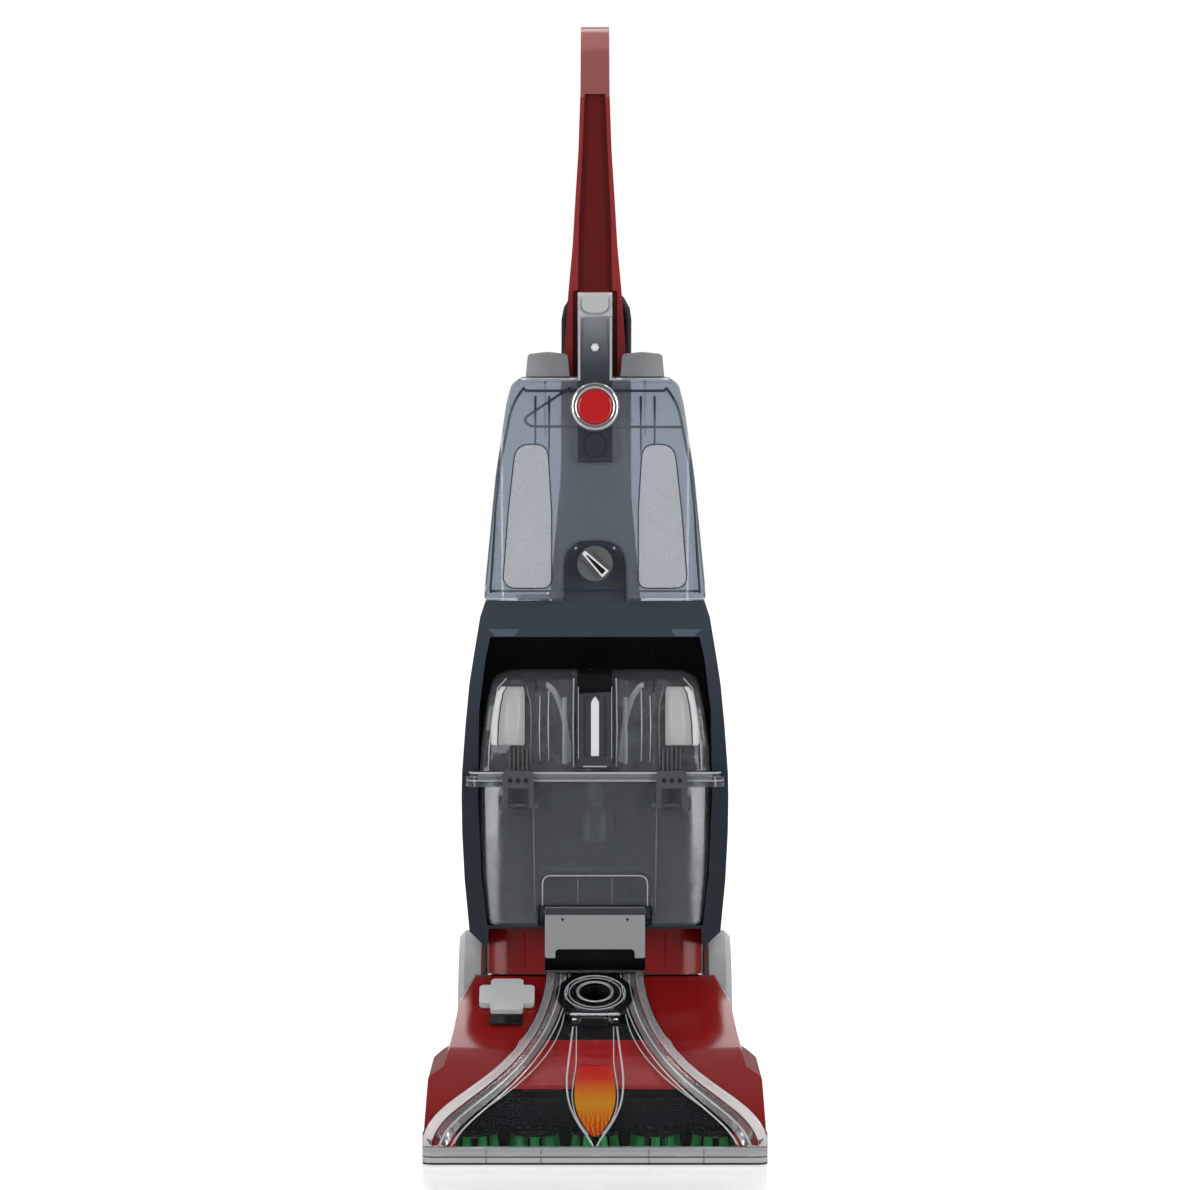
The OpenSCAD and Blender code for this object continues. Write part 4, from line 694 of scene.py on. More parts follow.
# %% Milky clear plastic
def milky(name, tint, share, roughness=0.18, fade=None, grain=0.0001):
    """Clear plastic of which a share is frosted, less of it from height fade[0] up to fade[1]."""
    n = new_material(name)
    n.set(Base_Color=n.blend(n.ramp(n.noise(25, 2), 0, 1), tint, tuple(c * 0.96 for c in tint)))
    n.set(Roughness=n.ramp(n.noise(60, 3), roughness * 0.8, roughness * 1.2), IOR=1.3)
    n.bump(n.noise(220, 2), grain, 0.2)
    clearness = n.ramp(n.axis("Z"), 1 - share, 1 - share * 0.22, *fade) if fade else 1 - share
    n.set(Transmission_Weight=clearness)
    see_through(n, tuple(c * (1 - share) for c in tint))
    return n.owner


# Painted highlights: the frosting of the rim, of the ridges and of the faint sheen bands stands for light
# that gathers in and glances off the clear plastic.
RIM = milky("nozzle_rim_painted_highlight", (0.93, 0.89, 0.89), 0.6, fade=(0.045, 0.115))
RIDGE = milky("nozzle_ridge_frosted", (0.85, 0.85, 0.86), 0.3, 0.1)
SHEEN = milky("nozzle_painted_sheen", (0.8, 0.8, 0.81), 0.08, 0.1, grain=0.00002)
print("milky:", [material.name for material in (RIM, RIDGE, SHEEN)])

# %% Rim bands and ridges of the nozzle
RIM_PROFILE = [
    (0.0005, 0.001), (0.001, 0.0026), (0.0035, 0.0034), (0.007, 0.0029), (0.0088, 0.0016),
    (0.0086, 0.0008),
]
SHEEN_PROFILE = [(0.0095, 0.0002), (0.01, 0.0005), (0.0205, 0.0005), (0.021, 0.0002)]
LOWER_RIDGE = [(0.0146, 0.0006), (0.015, 0.0017), (0.0158, 0.0018), (0.0163, 0.0006)]
UPPER_RIDGE = [(0.023, 0.0003), (0.0234, 0.0013), (0.024, 0.0013), (0.0244, 0.0003)]
FAN_RIDGE = [(0.031, -0.085), (0.036, -0.13), (0.06, -0.16), (0.104, -0.186)]
# Painted highlights along the nozzle: rim bands, ridges and bands of painted sheen.
for side, word in SIDES:
    band(f"nozzle_rim_{word}", RIM_PROFILE, RIM, side)
    band(f"nozzle_ridge_{word}", LOWER_RIDGE, RIDGE, side, 3)
    band(f"nozzle_inner_ridge_{word}", UPPER_RIDGE, RIDGE, side, 6)
for side, word in SIDES:
    line = [on_nose(x, y, 0.0003) for x, y in smooth_line(sided(side, FAN_RIDGE))]
    tube(f"nozzle_fan_ridge_{word}", line, 0.0006, RIDGE, *ON_NOZZLE)
    band(f"nozzle_sheen_{word}", SHEEN_PROFILE, SHEEN, side, 4)
print("bands and ridges:", count("nozzle_"))

# %% [markdown]
# The hose port's clear door is a lens of concentric steps, and each step catches the light as a thin
# bright ring, painted as a frosted tube. A thin black sheet on the hood under the pedal is a painted
# shadow.

# %% Rings of the port door and the pedal's painted shadow
DECK = math.radians(27)
DOOR = on_nose(0, -0.056)
DOOR_RINGS = (
    (0.0305, 0.0031, 0.0007), (0.0262, 0.0031, 0.0005), (0.0183, 0.0043, 0.0006), (0.0167, 0.0041, 0.0004),
)
PAINTED_SHADOW_X, PAINTED_SHADOW_Y = (-0.106, -0.073), (-0.099, -0.085)


def on_door(radius, k, count, lift):
    """Point number k of count on a circle over the port door's face."""
    p = around(k, count, radius)
    return DOOR + Vector((
        p.x, p.y * math.cos(DECK) - lift * math.sin(DECK), p.y * math.sin(DECK) + lift * math.cos(DECK),
    ))


for number, (radius, lift, thick) in enumerate(DOOR_RINGS):
    circle = [on_door(radius, k, 64, lift) for k in range(64)]
    tube(f"port_ring_{number}", circle, thick, RIDGE, "port_door", "clear_plastic", closed=True)

# Painted shadow: a thin black sheet lying on the hood below the pedal.
painted_shadow_rows = [PAINTED_SHADOW_Y[0] + (PAINTED_SHADOW_Y[1] - PAINTED_SHADOW_Y[0]) * k / 6 for k in range(7)]
painted_shadow = [[on_nose(x, y, lift) for y in painted_shadow_rows for x in PAINTED_SHADOW_X] for lift in (0.0005, -0.0001)]
closed_sheet("pedal_painted_shadow", painted_shadow, 2, BLACK, "base", "black_plastic")
print("door rings:", count("port_ring_"))

# %% [markdown]
# The raised spade in the middle of the nozzle is a heated air channel. It carries a plain warm-coloured
# film, red at the top and yellow lower down, with fine wavy lines. The film is a thin sheet that
# follows the spade, and its colours come from its height.

# %% Shape of the spade and its film
SPADE = [
    (0.0169, 0.0004), (0.027, 0.0075), (0.041, 0.0186), (0.055, 0.0255), (0.068, 0.028), (0.081, 0.028),
    (0.1, 0.0252), (0.122, 0.022),
]
FILM = [
    (0.026, 0.0012), (0.034, 0.01), (0.047, 0.0178), (0.06, 0.0208), (0.072, 0.0198), (0.089, 0.0165),
]
FILM_COLOURS = [
    (0.0, (0.34, 0.018, 0.006)), (0.22, (0.44, 0.06, 0.006)), (0.5, (0.48, 0.2, 0.01)),
    (0.68, (0.5, 0.12, 0.01)), (0.84, (0.46, 0.025, 0.012)), (1.0, (0.44, 0.015, 0.012)),
]
FILM_LIFT = (0.0026, 0.0021)


def half_at(stations, z):
    """Half width at height z, on straight lines between the stations (z, half width)."""
    for (z0, w0), (z1, w1) in zip(stations, stations[1:]):
        if z <= z1:
            return w0 + (w1 - w0) * max(0, (z - z0) / (z1 - z0))
    return stations[-1][1]


def smoothed(stations, z):
    """Half width at height z, with the corners at the stations smoothed."""
    return sum(half_at(stations, z + 0.005 * k / 3) for k in range(-3, 4)) / 7


def film_material():
    """Warm film: its colour runs with height, and fine paler waves cross its lower half."""
    n = new_material("warm_film")
    height = n.ramp(n.axis("Z"), 0, 1, 0.026, 0.089)
    wave = n.add("ShaderNodeTexWave", wave_type="BANDS", bands_direction="X")
    waves = n.fill(wave, Vector=n.place, Scale=70, Distortion=7, Detail_Scale=1.2)["Fac"]
    share = n.times(n.ramp(waves, 0, 1, 0.8, 0.97), n.ramp(height, 1, 0, 0.35, 0.6))
    n.set(Base_Color=n.blend(share, n.colours(height, FILM_COLOURS), (0.52, 0.22, 0.015)))
    n.set(Roughness=n.ramp(n.noise(50, 2), 0.22, 0.34), Specular_IOR_Level=0.15)
    return n.owner


film_rows = [0.027 + 0.0616 * r / 40 for r in range(41)]
film = [
    [on_nose(smoothed(FILM, z) * (2 * c / 12 - 1), nose_y(z), lift) for z in film_rows for c in range(13)]
    for lift in FILM_LIFT
]
closed_sheet("spade_film", film, 13, film_material(), "base", "red_plastic")
for side, word in SIDES:
    heights = [0.018 + 0.103 * k / 40 for k in range(41)]
    wall = [on_nose(side * smoothed(SPADE, z), nose_y(z), 0.0014) for z in heights]
    tube(f"spade_wall_{word}", wall, 0.001, RIDGE, *ON_NOZZLE)
    inner = [on_nose(side * (smoothed(FILM, z) + 0.0022), nose_y(z), 0.0018) for z in heights[4:]]
    tube(f"spade_inner_wall_{word}", inner, 0.0006, RIDGE, *ON_NOZZLE)
print("spade pieces:", count("spade_"))

# %% [markdown]
# ## Brushes
# Each brush of the real machine is a ring of nylon tufts under a gear. The CAD model keeps only a few
# strands, so each ring is replaced by tufts of many thin strands, which splay outwards towards the
# floor and have slightly different lengths and greens. A dark disc with a hole holds the tufts.

# %% Bristle tufts
GREEN = plastic("green_nylon", (0.012, 0.26, 0.07), (0.03, 0.4, 0.11), (0.3, 0.45), 1500)
TUFT_TOP, TUFT_TIP, TUFT_RADIUS = 0.0255, 0.003, 0.0038
TUFT_CIRCLES = ((0.0196, 8, 0.0026), (0.01, 4, 0.0012))
STRANDS, STRAND_ROWS = 64, 4
BRUSH_Y, BRUSH_PITCH = -0.15, 0.06
HOLDER_RADII, HOLDER_Z, HOLDER_SIDES = (0.0074, 0.024), (TUFT_TOP - 0.0035, 0.0269), 48


def strand(verts, faces, root, tip, bend, width):
    """A three-sided strand from root to tip, bent in the middle and narrower at the tip."""
    start = len(verts)
    for r in range(STRAND_ROWS):
        t = r / (STRAND_ROWS - 1)
        centre = root.lerp(tip, t) + bend * (t * (1 - t) * 4)
        verts += [centre + around(k, 3, width * (1 - 0.35 * t)) for k in range(3)]
    end = len(verts)
    faces += ring_faces(STRAND_ROWS, 3, start)
    faces += [(start, start + 1, start + 2), (end - 1, end - 2, end - 3)]


def tuft_ring(number):
    """All tufts of one brush, with the disc that holds them."""
    draw = random.Random(40 + number)
    centre = Vector(((number - 3) * BRUSH_PITCH, BRUSH_Y, 0))
    verts, faces = [], []
    for radius, count, spread in TUFT_CIRCLES:
        for i in range(count):
            out = around(i + 0.5 * (number % 2), count)
            hole = centre + out * radius
            for s in range(STRANDS):
                a, r = draw.uniform(0, 2 * math.pi), TUFT_RADIUS * math.sqrt(draw.random())
                offset = Vector((math.cos(a) * r, math.sin(a) * r, 0))
                end = Vector((0, 0, TUFT_TIP + draw.uniform(0, 0.0022)))
                tip = hole + offset * 1.25 + out * (spread + draw.uniform(-0.0006, 0.0008)) + end
                strand(verts, faces, hole + offset + Vector((0, 0, TUFT_TOP)), tip, out * -0.0004, 0.00034)
    (inner, outer), (low, high) = HOLDER_RADII, HOLDER_Z
    holder = ring_faces(4, HOLDER_SIDES, len(verts), closed=True)
    for radius, z in ((inner, low), (outer, low), (outer, high), (inner, high)):
        at = centre + Vector((0, 0, z))
        verts += [at + around(k, HOLDER_SIDES, radius) for k in range(HOLDER_SIDES)]
    name, body = f"brush_tufts_{number}", f"brush_{number}"
    obj = mesh_piece(name, verts, faces + holder, GREEN, body, "green_bristle")
    obj.data.materials.append(GEAR)
    for face in list(obj.data.polygons)[-len(holder):]:
        face.material_index = 1
    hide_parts(f"brush_bristles_{number}")
    return obj


for number in range(1, 6):
    brush = tuft_ring(number)
print("faces in one ring of tufts:", len(brush.data.polygons))
# Painted shade: a black rubber plate behind the brushes darkens the chamber under the nozzle.
painted_shade = oblong(-0.15, 0.15, 0.004, 0.0262)
plate("brush_rear_painted_shade", painted_shade, -0.1195, -0.118, RUBBER, "base", "black_rubber")

# %% [markdown]
# ## Two-tone parts
# Two-tone parts and painted light
# Some CAD parts show two or three finishes. The red foot is black inside its middle recess, the slate
# body is black inside its tank bay, the hood is black in its well and satin on its low side ledges,
# and the carry handle has chrome sides. Painted highlights make the red handle's rails and top and the
# carry handle's top paler, and painted shade makes the recovery handle's top black. A second material
# goes to the faces in that region, picked by the place of each face's centre. The mesh itself stays as it
# is.
# region, picked by the place of each face's centre. The mesh itself stays as it is.

# %% Second materials by region
# Painted light on the red handle: a lighter red on its front rails and a pink red on its top, where they
# catch the light.
HANDLE_RAIL_LIT = plastic("red_handle_rail_painted_light", (0.3, 0.032, 0.032), (0.27, 0.028, 0.028), grain=500)
HANDLE_TOP_HIGHLIGHT = plastic("red_handle_top_painted_highlight", (0.33, 0.105, 0.1), (0.28, 0.085, 0.08), grain=500)
# Glossy black for the tank bay, the foot's recess and the hood's well; on the top of the recovery handle it
# is painted shade.
GLOSS_BLACK_AND_SHADE = plastic(
    "black_gloss_and_painted_shade", (0.0035, 0.004, 0.005), (0.005, 0.0055, 0.0065), (0.22, 0.34), shine=0.2
)
RED_SATIN = plastic("red_satin", (0.2, 0.0085, 0.0085), (0.17, 0.007, 0.008), (0.45, 0.55), 700, shine=0.1)
# Pale plastic that paints highlights: on the carry handle's top and front edges and on the recovery
# handle's edges and ledge.
PALE_HIGHLIGHT = plastic("pale_painted_highlight", (0.42, 0.44, 0.46), (0.4, 0.42, 0.44), (0.15, 0.25))
GRIP_TOP, CARRY_TOP = 1.068, 0.837


def region(name, material, inside):
    """Gives material to the faces of a CAD part for which inside(centre, normal) is true."""
    data = nodes[name].data
    data.materials.append(material)
    index, count = len(data.materials) - 1, 0
    for face in data.polygons:
        if inside(face.center, face.normal):
            face.material_index = index
            count += 1
    print(name, "has", count, "faces in", material.name)


def in_bay(c, n):
    """Inside the tank bay of the body, but not on its front rim or its outer faces."""
    outside = n.x * c.x > 0.3 * abs(c.x) or n.y > 0.5
    return abs(c.x) < 0.1285 and c.y > -0.0375 and 0.2145 < c.z < 0.5125 and not outside


def in_well(c, n):
    """In the hood's well under the hose port, or on the collar round the port."""
    deep = abs(c.x) < 0.052 and c.y > -0.093 and c.z < on_nose(0, c.y).z - 0.003
    return deep or math.hypot(c.x, c.y + 0.056) < 0.0405


region("body_shell", GLOSS_BLACK_AND_SHADE, in_bay)
region("body_foot", GLOSS_BLACK_AND_SHADE, lambda c, n: abs(c.x) < 0.052 and c.y > -0.0149)
region("base_hood", GLOSS_BLACK_AND_SHADE, in_well)
region("base_hood", RED_SATIN, lambda c, n: abs(c.x) > 0.12 and c.z < 0.105 and n.z > 0.5 and n.y > -0.3)
# Painted highlights on the red handle's front rails and on the top of its grip.
region("handle_front", HANDLE_RAIL_LIT, lambda c, n: n.y < -0.5 and abs(c.x) > 0.0115 and c.z < GRIP_TOP)
region("handle_front", HANDLE_TOP_HIGHLIGHT, lambda c, n: n.y < -0.2 and c.z > GRIP_TOP and c.y < 0.1)
# Painted shade: the top of the recovery handle's channel is black.
region("recovery_handle", GLOSS_BLACK_AND_SHADE, lambda c, n: c.z > 0.4555)
# Painted highlight: the carry handle's top, which leans back towards the light, is pale.
region("carry_handle", PALE_HIGHLIGHT, lambda c, n: c.z > CARRY_TOP)
region("carry_handle", CHROME, lambda c, n: abs(n.x) > 0.7 and c.z < CARRY_TOP)

# %% [markdown]
# ## Solution tank
# The tank is one blow-moulded clear shell. Its front has two shallow window panels, ribs at the top,
# and a seam that shows as a dark line. The ribs, the edge and the seam are thin pieces just inside
# the wall. The windows are thin frosted sheets on the wall, each with a line round it.

# %% Lines and windows of the solution tank
TANK_LINE = milky("tank_line_blue", (0.03, 0.045, 0.075), 0.85, 0.2)
WINDOW = milky("tank_window_frosted", (0.8, 0.81, 0.83), 0.36, 0.25, grain=0.00001)
TANK_FRONT = -0.05
WALL_INSIDE = TANK_FRONT + 0.0025
WINDOW_CORNERS = [
    (0.044, 0.562, 0.01), (0.094, 0.562, 0.014), (0.088, 0.64), (0.0805, 0.708, 0.015),
    (0.048, 0.708, 0.013), (0.044, 0.64),
]
EDGE_CORNERS = [
    (0.1065, 0.556, 0.003), (0.101, 0.64), (0.0955, 0.69), (0.0835, 0.752, 0.018),
    (0.07, 0.768, 0.008),
]
FIN = [(-0.0012, 0.757), (0.0012, 0.757), (0.0009, 0.706), (0, 0.695), (-0.0009, 0.706)]
SEAM_CORNERS = [(-0.025, 0.766), (-0.073, 0.7335, 0.006), (-0.066, 0.7262, 0.004), (0.089, 0.7255)]

for side, word in SIDES:
    corners = sided(side, WINDOW_CORNERS)
    line = [(p.x, TANK_FRONT - 0.0002, p.y) for p in rounded(corners)]
    tube(f"tank_window_line_{word}", line, 0.0007, TANK_LINE, *ON_SOLUTION, closed=True)
    front = TANK_FRONT - 0.0006
    plate(f"tank_window_{word}", corners, front, front + 0.0008, WINDOW, *ON_SOLUTION, 0.0002)
    for k, middle in enumerate((0.0465, 0.0605)):
        fin = sided(side, [(middle + x, z) for x, z in FIN])
        front = WALL_INSIDE + 0.0004
        plate(f"tank_fin_{word}_{k}", fin, front, front + 0.0116, TANK_LINE, *ON_SOLUTION)
edge = [(p.x, WALL_INSIDE + 0.0042, p.y) for p in rounded(EDGE_CORNERS)[:-1]]
tube("tank_edge_line", edge + sided(-1, edge[::-1]), 0.0013, TANK_LINE, *ON_SOLUTION, closed=True)
seam = [SEAM_CORNERS[0]]
for before, corner, after in zip(SEAM_CORNERS, SEAM_CORNERS[1:], SEAM_CORNERS[2:]):
    seam += [tuple(p) for p in rounded([before[:2], corner, after[:2]])[1:-1]]
seam.append(SEAM_CORNERS[-1])
tube("tank_seam_line", [(x, WALL_INSIDE + 0.0052, z) for x, z in seam], 0.0014, TANK_LINE, *ON_SOLUTION)
print("lines, windows and fins of the tank:", count("tank_"))

# %% [markdown]
# ## Selector, badge and carry handle
# The selector's pointer is a white wedge frame with a black heart. The badge is a bare red enamel
# disc in a chrome ring. The carry handle has pale strips on its sides that are painted highlights, and
# a small white disc that is a painted glint.

# %% Selector pointer and console dots
KNOB_Z = 0.587
POINTER_TURN = math.radians(45)
KNOB_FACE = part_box("selector_knob")[0].y
WEDGE = ((0.0048, -0.0152, 0.0015), (0.0022, 0.0165, 0.001))
HEART = ((0.0028, -0.0128, 0.0012), (0.0007, 0.012, 0.0004))
DOT_X, DOT_Z, DOT = 0.0195, 0.6025, 0.0012


def pointer(low, high):
    """A wedge from its low right and high right corners, turned about the knob's middle."""
    c, s = math.cos(POINTER_TURN), math.sin(POINTER_TURN)
    corners = sided(-1, [low]) + [low, high] + sided(-1, [high])
    return [(x * c - z * s, KNOB_Z + x * s + z * c, radius) for x, z, radius in corners]


front, back = KNOB_FACE - 0.0012, KNOB_FACE + 0.001
plate("selector_pointer", pointer(*WEDGE), front, back, WHITE, "selector_knob", "white_plastic")
front, back = KNOB_FACE - 0.0015, KNOB_FACE - 0.0005
heart = pointer(*HEART)
plate("selector_pointer_heart", heart, front, back, BLACK, "selector_knob", "black_plastic", 0.0001)
for side, word in SIDES:
    x = side * DOT_X
    dot = oblong(x - DOT, x + DOT, DOT_Z - DOT, DOT_Z + DOT, 0.0011)
    plate(f"selector_mark_{word}", dot, -0.0362, -0.0358, WHITE, "upright", "white_plastic", 0.00005)
print("knob face at", round(KNOB_FACE, 4))

# %% Badge and carry handle
ENAMEL = plastic("red_enamel", (0.52, 0.012, 0.014), (0.45, 0.008, 0.01), (0.1, 0.16), coat=0.5)
BADGE_Z, GLINT_Z = 0.746, 0.806
BADGE_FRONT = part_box("badge")[0].y
BEZEL = [
    (0.0182, 0.0002), (0.0184, -0.0012), (0.0194, -0.002), (0.0212, -0.0023), (0.0232, -0.0017),
    (0.0243, -0.0005), (0.0243, 0.0002),
]
ROUND = 72


def disc(name, radius, z, front, dome, material, slot, rings=6, sides=ROUND):
    """A slightly domed disc on the solution tank that faces -y; its back is flat."""
    verts = [(0, front - dome, z)]
    for r in range(1, rings + 1):
        t = r / rings
        circle = [around(k, sides, radius * t) for k in range(sides)]
        verts += [(p.x, front - dome * (1 - t * t), z + p.y) for p in circle]
    verts += [(x, front + 0.0008, z) for x, y, z in verts[-sides:]]
    faces = [(0, 1 + k, 1 + (k + 1) % sides) for k in range(sides)] + ring_faces(rings + 1, sides, 1)
    faces.append(end_caps(len(verts), sides)[1])
    return mesh_piece(name, verts, faces, material, "solution", slot)


def ring(name, profile, z, front, material, slot):
    """A ring that faces -y. profile lists (radius, depth behind front) round its closed section."""
    points = [(around(k, ROUND, radius), depth) for k in range(ROUND) for radius, depth in profile]
    verts = [(p.x, front + depth, z + p.y) for p, depth in points]
    faces = ring_faces(ROUND, len(profile), closed=True)
    return mesh_piece(name, verts, faces, material, "solution", slot)


ring("badge_ring", BEZEL, BADGE_Z, BADGE_FRONT, CHROME, "chrome_plastic")
# Painted highlight: a small white six-sided disc on the carry handle stands for a glint in a dimple.
disc("handle_painted_glint", 0.0044, GLINT_Z, -0.0572, 0.0024, WHITE, "white_plastic", rings=2, sides=6)
# Painted highlights: pale strips down the carry handle's front edges.
for side, word in SIDES:
    trim = sided(side, oblong(0.0148, 0.0172, 0.7725, 0.837))
    plate(f"carry_highlight_{word}", trim, -0.0575, -0.0568, PALE_HIGHLIGHT, "solution", "chrome_plastic", 0.0002)
disc("badge_face", 0.0178, BADGE_Z, BADGE_FRONT - 0.0001, 0.0008, ENAMEL, "red_plastic")
print("badge front", round(BADGE_FRONT, 4))

# %% [markdown]
# ## Recovery tank
# The lid of the real tank holds clear ducts, and its face throws bright, crumpled reflections. Thin
# frosted sheets on the lid's face are painted reflections, and frosted tubes inside it are the ducts.
# The lid's face is upright up to a bend and leans back above it.

# %% Painted reflections and ducts in the lid
# Painted reflections: frosted sheets where the lid's face mirrors the light, each with a brighter edge.
LID_REFLECTION = milky("lid_painted_reflection_frosted", (0.66, 0.67, 0.67), 0.62, 0.2, grain=0.00002)
LID_REFLECTION_EDGE = milky("lid_painted_reflection_edge", (0.86, 0.87, 0.87), 0.75, 0.15, grain=0.00002)
LID_FACE, LID_BEND_Z, LID_LEAN = -0.0461, 0.436, 0.24
LID_REFLECTION_ROWS = [
    (0.402, 0.0725, 0.097), (0.404, 0.0715, 0.0985), (0.425, 0.0715, 0.0975), (0.442, 0.0715, 0.0955),
    (0.456, 0.0718, 0.0925), (0.4615, 0.073, 0.089),
]
LID_REFLECTION_EDGE_ROWS = [(z, b + 0.0012, b + 0.0075 - 0.05 * max(0, z - 0.44)) for z, a, b in LID_REFLECTION_ROWS]
DUCT = [(0.026, 0.384), (0.03, 0.452), (0.046, 0.462), (0.05, 0.462)]


def lid_front(z):
    """The y of the lid's front face at height z."""
    return LID_FACE + LID_LEAN * max(0, z - LID_BEND_Z)


def lid_sheet(name, rows, side, material):
    """A thin closed sheet on the lid's face. rows lists (z, x nearer the middle, x further out)."""
    points = [(side * x, lid_front(z), z) for z, *pair in rows for x in pair]
    layers = [points, [(x, y + 0.0005, z) for x, y, z in points]]
    return closed_sheet(name, layers, 2, material, *ON_RECOVERY)


# Painted reflections on each side of the lid, with the ducts and drops inside it.
for side, word in SIDES:
    lid_sheet(f"lid_painted_reflection_{word}", LID_REFLECTION_ROWS, side, LID_REFLECTION)
    lid_sheet(f"lid_painted_reflection_edge_{word}", LID_REFLECTION_EDGE_ROWS, side, LID_REFLECTION_EDGE)
    duct = [(x, -0.026, z) for x, z in smooth_line(sided(side, DUCT))]
    tube(f"lid_duct_{word}", duct, 0.003, RIDGE, *ON_RECOVERY, sides=10)
    drop = [(side * 0.031, -0.034, 0.382 + 0.004 * k) for k in range(18)]
    tube(f"lid_drop_{word}", drop, 0.0024, RIDGE, *ON_RECOVERY, sides=10)
print("pieces in the lid:", count("lid_"))

# %% [markdown]
# Under each latch the lid has a small comb of teeth. Fine lines follow the lid's edges, its inner
# walls and the ribs of the tank below it: the bright ones are painted highlights, the smoky ones dark
# lines.

# %% Latch combs, and the lines of the lid and the tank
COMB = plastic("latch_comb_grey", (0.1, 0.105, 0.11), (0.08, 0.085, 0.09), (0.25, 0.35))
# Frosted lines that paint the highlights along moulded edges.
EDGE_HIGHLIGHT = milky("moulded_edge_bright", (0.62, 0.63, 0.64), 0.8, 0.15)
SMOKE_EDGE = milky("moulded_edge_smoke", (0.2, 0.21, 0.22), 0.85, 0.15)
ON_LATCH = ("recovery", "dark_grey_plastic")
LATCH_X, TOOTH_PITCH = 0.078, 0.0044
TANK_WALL = -0.0453
LID_EDGE = [(0.1085, 0.377), (0.1075, 0.402), (0.103, 0.439), (0.099, 0.46), (0.09, 0.47)]
LID_RIB = [
    (0.0655, -0.0455, 0.377), (0.065, -0.0455, 0.43), (0.0655, -0.044, 0.445),
    (0.07, -0.04, 0.462),
]
TOOTH = [(-0.0011, 0), (0.0011, 0), (0.0008, 1, 0.0004), (-0.0008, 1, 0.0004)]
TANK_RIB = [(0.063, TANK_WALL, 0.344), (0.0612, TANK_WALL, 0.23)]
FLOOR_RIB = [(0.0175, TANK_WALL, 0.266), (0.0175, TANK_WALL, 0.24)]
FLOOR_EDGE = [(-0.0535, 0.2385), (-0.0535, 0.269, 0.009), (0.0535, 0.269, 0.009), (0.0535, 0.2385)]

for side, word in SIDES:
    for k in range(5):
        middle, top = side * (LATCH_X + TOOTH_PITCH * (k - 2)), 0.401 - 0.0012 * abs(k - 2)
        tooth = [(middle + x, top if up else 0.3765, *radius) for x, up, *radius in TOOTH]
        plate(f"latch_comb_{word}_{k}", tooth, -0.0466, -0.0452, COMB, *ON_LATCH, 0.0002)
    edge = [(side * x, lid_front(z) + 0.0005, z) for x, z in LID_EDGE]
    tube(f"lid_edge_{word}", edge, 0.0006, EDGE_HIGHLIGHT, *ON_RECOVERY)
    tube(f"lid_rib_{word}", sided(side, LID_RIB), 0.0007, SMOKE_EDGE, *ON_RECOVERY)
    tube(f"tank_rib_{word}", sided(side, TANK_RIB), 0.0006, SMOKE_EDGE, *ON_RECOVERY)
    tube(f"tank_floor_rib_{word}", sided(side, FLOOR_RIB), 0.0005, SMOKE_EDGE, *ON_RECOVERY)
arch = [(p.x, TANK_WALL, p.y) for p in rounded(FLOOR_EDGE)]
tube("tank_floor_edge", arch, 0.0006, EDGE_HIGHLIGHT, *ON_RECOVERY)
print("latch teeth:", count("latch_comb_"))

# %% Flange between the lid and the tank, and painted highlight streaks in the lid
FLANGE_HAZE = milky("flange_haze", (0.36, 0.37, 0.385), 0.5, 0.15, grain=0.00002)
FLANGE_BEND = [(-0.128, -0.04), (-0.1268, -0.0468), (-0.1225, -0.0506), (-0.117, -0.0513)]
FLANGE_LINES = (
    ("upper", 0.3742, 0.001, EDGE_HIGHLIGHT), ("middle", 0.3702, 0.0008, SMOKE_EDGE),
    ("lower", 0.3662, 0.0008, EDGE_HIGHLIGHT),
)
# Painted highlights: bright streaks in the lid, and bright lines along the top and bottom of the flange.
HIGHLIGHT_STREAKS = (
    (0.0215, 0.38, 0.47, 0.0009), (0.047, 0.386, 0.458, 0.0006), (0.056, 0.386, 0.452, 0.0006),
)

haze = oblong(-0.119, 0.119, 0.3667, 0.3739, 0.001)
plate("flange_band", haze, -0.0514, -0.0509, FLANGE_HAZE, *ON_RECOVERY, 0.0001)
for side, word in SIDES:
    for k, (x, low, high, radius) in enumerate(HIGHLIGHT_STREAKS):
        streak = [(x, -0.044, low), (x + 0.0006, -0.0435, (low + high) / 2), (x, -0.04, high)]
        tube(f"lid_streak_{word}_{k}", sided(side, streak), radius, EDGE_HIGHLIGHT, *ON_RECOVERY)
for name, z, radius, material in FLANGE_LINES:
    line = [(x, y, z) for x, y in FLANGE_BEND + sided(-1, FLANGE_BEND[::-1])]
    tube(f"flange_line_{name}", line, radius, material, *ON_RECOVERY)
print("flange pieces:", count("flange_"), "streaks:", count("lid_streak_"))

# %% Trim of the recovery tank's handle, with painted highlights
GRIP_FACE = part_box("recovery_handle")[0].y
STRIP = [(-0.0042, 0.391), (0.0042, 0.391), (0.0042, 0.446), (0.0, 0.4535), (-0.0042, 0.446)]
CHROMED = ("recovery", "chrome_plastic")
front, back = GRIP_FACE + 0.0018, GRIP_FACE + 0.003
plate("recovery_handle_strip", STRIP, front, back, WHITE, "recovery", "white_plastic", 0.0006)
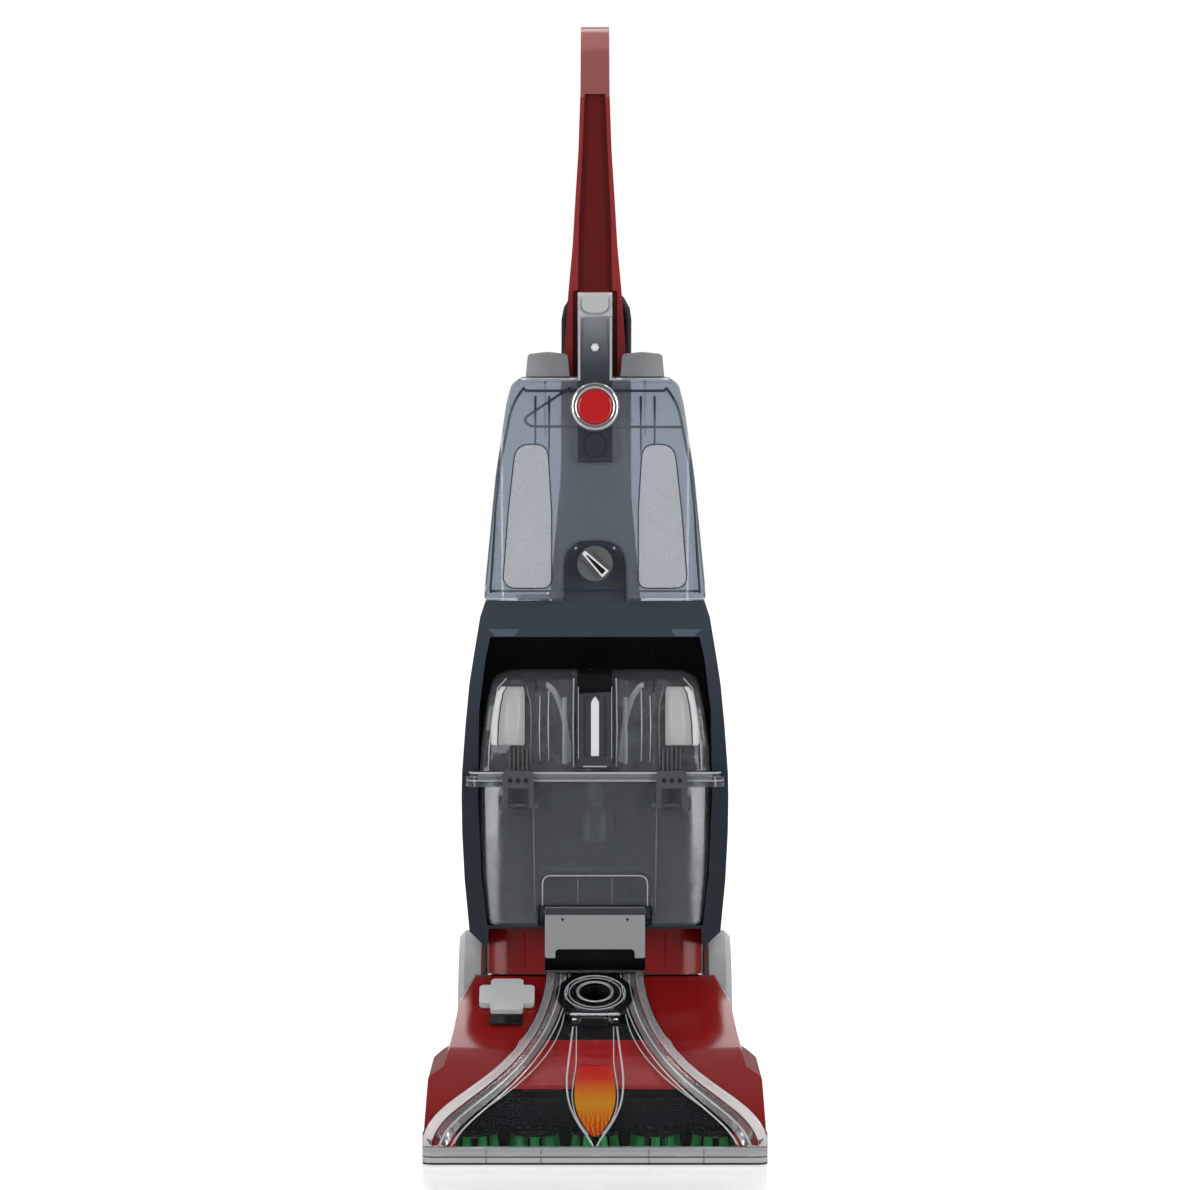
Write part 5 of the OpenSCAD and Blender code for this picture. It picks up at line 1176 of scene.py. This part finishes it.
# Painted highlights: pale strips along the handle's edges and on its ledge.
front, back = GRIP_FACE - 0.0003, GRIP_FACE + 0.0006
for side, word in SIDES:
    trim = sided(side, oblong(0.0166, 0.0173, 0.3885, 0.462))
    plate(f"recovery_handle_edge_highlight_{word}", trim, front, back, PALE_HIGHLIGHT, *CHROMED, 0.0001)
ledge = oblong(-0.012, 0.012, 0.3802, 0.3816)
front, back = GRIP_FACE - 0.0006, GRIP_FACE + 0.0004
plate("recovery_handle_ledge_highlight", ledge, front, back, PALE_HIGHLIGHT, *CHROMED, 0.0002)
print("handle trim:", count("recovery_handle_"))

# %% [markdown]
# ## Release paddle and bay lip
# The paddle has a darker bar along its top and two small arrow marks. The top edge of the tank bay is
# a chamfered lip, and small pale plates at its two ends are painted highlights where they catch the light.

# %% Paddle bar, arrows and painted highlights on the bay lip
LIP_GLINT = plastic("slate_painted_highlight", (0.1, 0.115, 0.14), (0.08, 0.095, 0.12))
paddle_low, paddle_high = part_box("release_paddle")
PADDLE_FACE, PADDLE_TOP = paddle_low.y, paddle_high.z
BAR_LOW, BAR_HIGH = PADDLE_TOP - 0.0074, PADDLE_TOP - 0.0004
BAR = [(-0.0508, BAR_LOW), (0.0508, BAR_LOW), (0.0505, BAR_HIGH, 0.002), (-0.0505, BAR_HIGH, 0.002)]
LIP_GLINT_CORNERS = [(0.077, 0.52, 0.002), (0.109, 0.52), (0.101, 0.5126), (0.0815, 0.5126, 0.002)]
front, back = PADDLE_FACE - 0.0006, PADDLE_FACE + 0.0006
plate("paddle_bar", BAR, front, back, DARK_GREY, "release_paddle", "dark_grey_plastic")
for side, word in SIDES:
    x = side * 0.033
    arrow = [(x - 0.0019, 0.2255), (x, 0.222), (x + 0.0019, 0.2255)]
    front, back = PADDLE_FACE - 0.0002, PADDLE_FACE + 0.0003
    plate(f"paddle_arrow_{word}", arrow, front, back, BLACK, "release_paddle", "black_plastic", 0.00005)
# Painted highlights where the ends of the bay's lip catch the light.
for side, word in SIDES:
    painted_highlight = sided(side, LIP_GLINT_CORNERS)
    plate(f"bay_painted_highlight_{word}", painted_highlight, -0.0384, -0.0377, LIP_GLINT, "upright", "slate_plastic", 0.0002)

# %% [markdown]
# ## Studio
# A pale floor, a white surround, two large soft lamps at the sides, and one that stands above and
# behind. The camera sees the surround as white, directly and through clear plastic. Mirrored in
# gloss, the surround is dark on the camera's side and bright behind, so that edges show up. The light
# that the surround throws on the machine stays at a plain level.

# %% World and floor
world = bpy.data.worlds.new("studio")
bpy.context.scene.world = world
sky = Nodes(world, "Background", "Generated")
rays = sky.add("ShaderNodeLightPath").outputs
seen = sky.maths("MAXIMUM", rays["Is Camera Ray"], rays["Is Transmission Ray"])
mirrored = sky.ramp(sky.axis("Y"), 0.16, 1.0, -0.5, 0.4)
unseen = sky.ramp(rays["Is Glossy Ray"], 0.42, mirrored, 0, 1)
sky.set(Color=(1, 1, 1), Strength=sky.ramp(seen, unseen, 1.0, 0, 1))
FLOOR_HALF = 14


def floor_material():
    """Pale floor, white to the camera and slightly polished."""
    n = new_material("pale_floor")
    n.set(Base_Color=n.blend(n.ramp(n.noise(3, 2), 0, 1), (0.6, 0.6, 0.6), (0.58, 0.58, 0.58)))
    glow = n.times(n.add("ShaderNodeLightPath").outputs["Is Camera Ray"], 0.45)
    n.set(Roughness=n.ramp(n.noise(20, 2), 0.12, 0.16), Emission_Color=(1, 1, 1), Emission_Strength=glow)
    return n.owner


floor_mesh = bpy.data.meshes.new("floor")
corners = oblong(-FLOOR_HALF, FLOOR_HALF, -FLOOR_HALF, FLOOR_HALF)
floor_mesh.from_pydata([(x, y, 0) for x, y in corners], [], [(0, 1, 2, 3)])
floor = placed("floor", floor_mesh)
paint(floor, floor_material())
floor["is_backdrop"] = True
print("floor:", 2 * FLOOR_HALF, "m wide")

# %% Lamps
LAMPS = [(f"lamp_{word}", (side * 2.6, -2.2, 1.15), (0, 0, 0.6), (0.9, 2.6), 50) for side, word in SIDES]
LAMPS.append(("lamp_top", (0, 1.06, 3.2), (0, 0.9, 0), (3.0, 1.0), 55))
for name, place, target, size, power in LAMPS:
    data = bpy.data.lights.new(name, "AREA")
    data.shape = "RECTANGLE"
    data.size, data.size_y = size
    data.energy = power
    aimed(name, data, place, target)
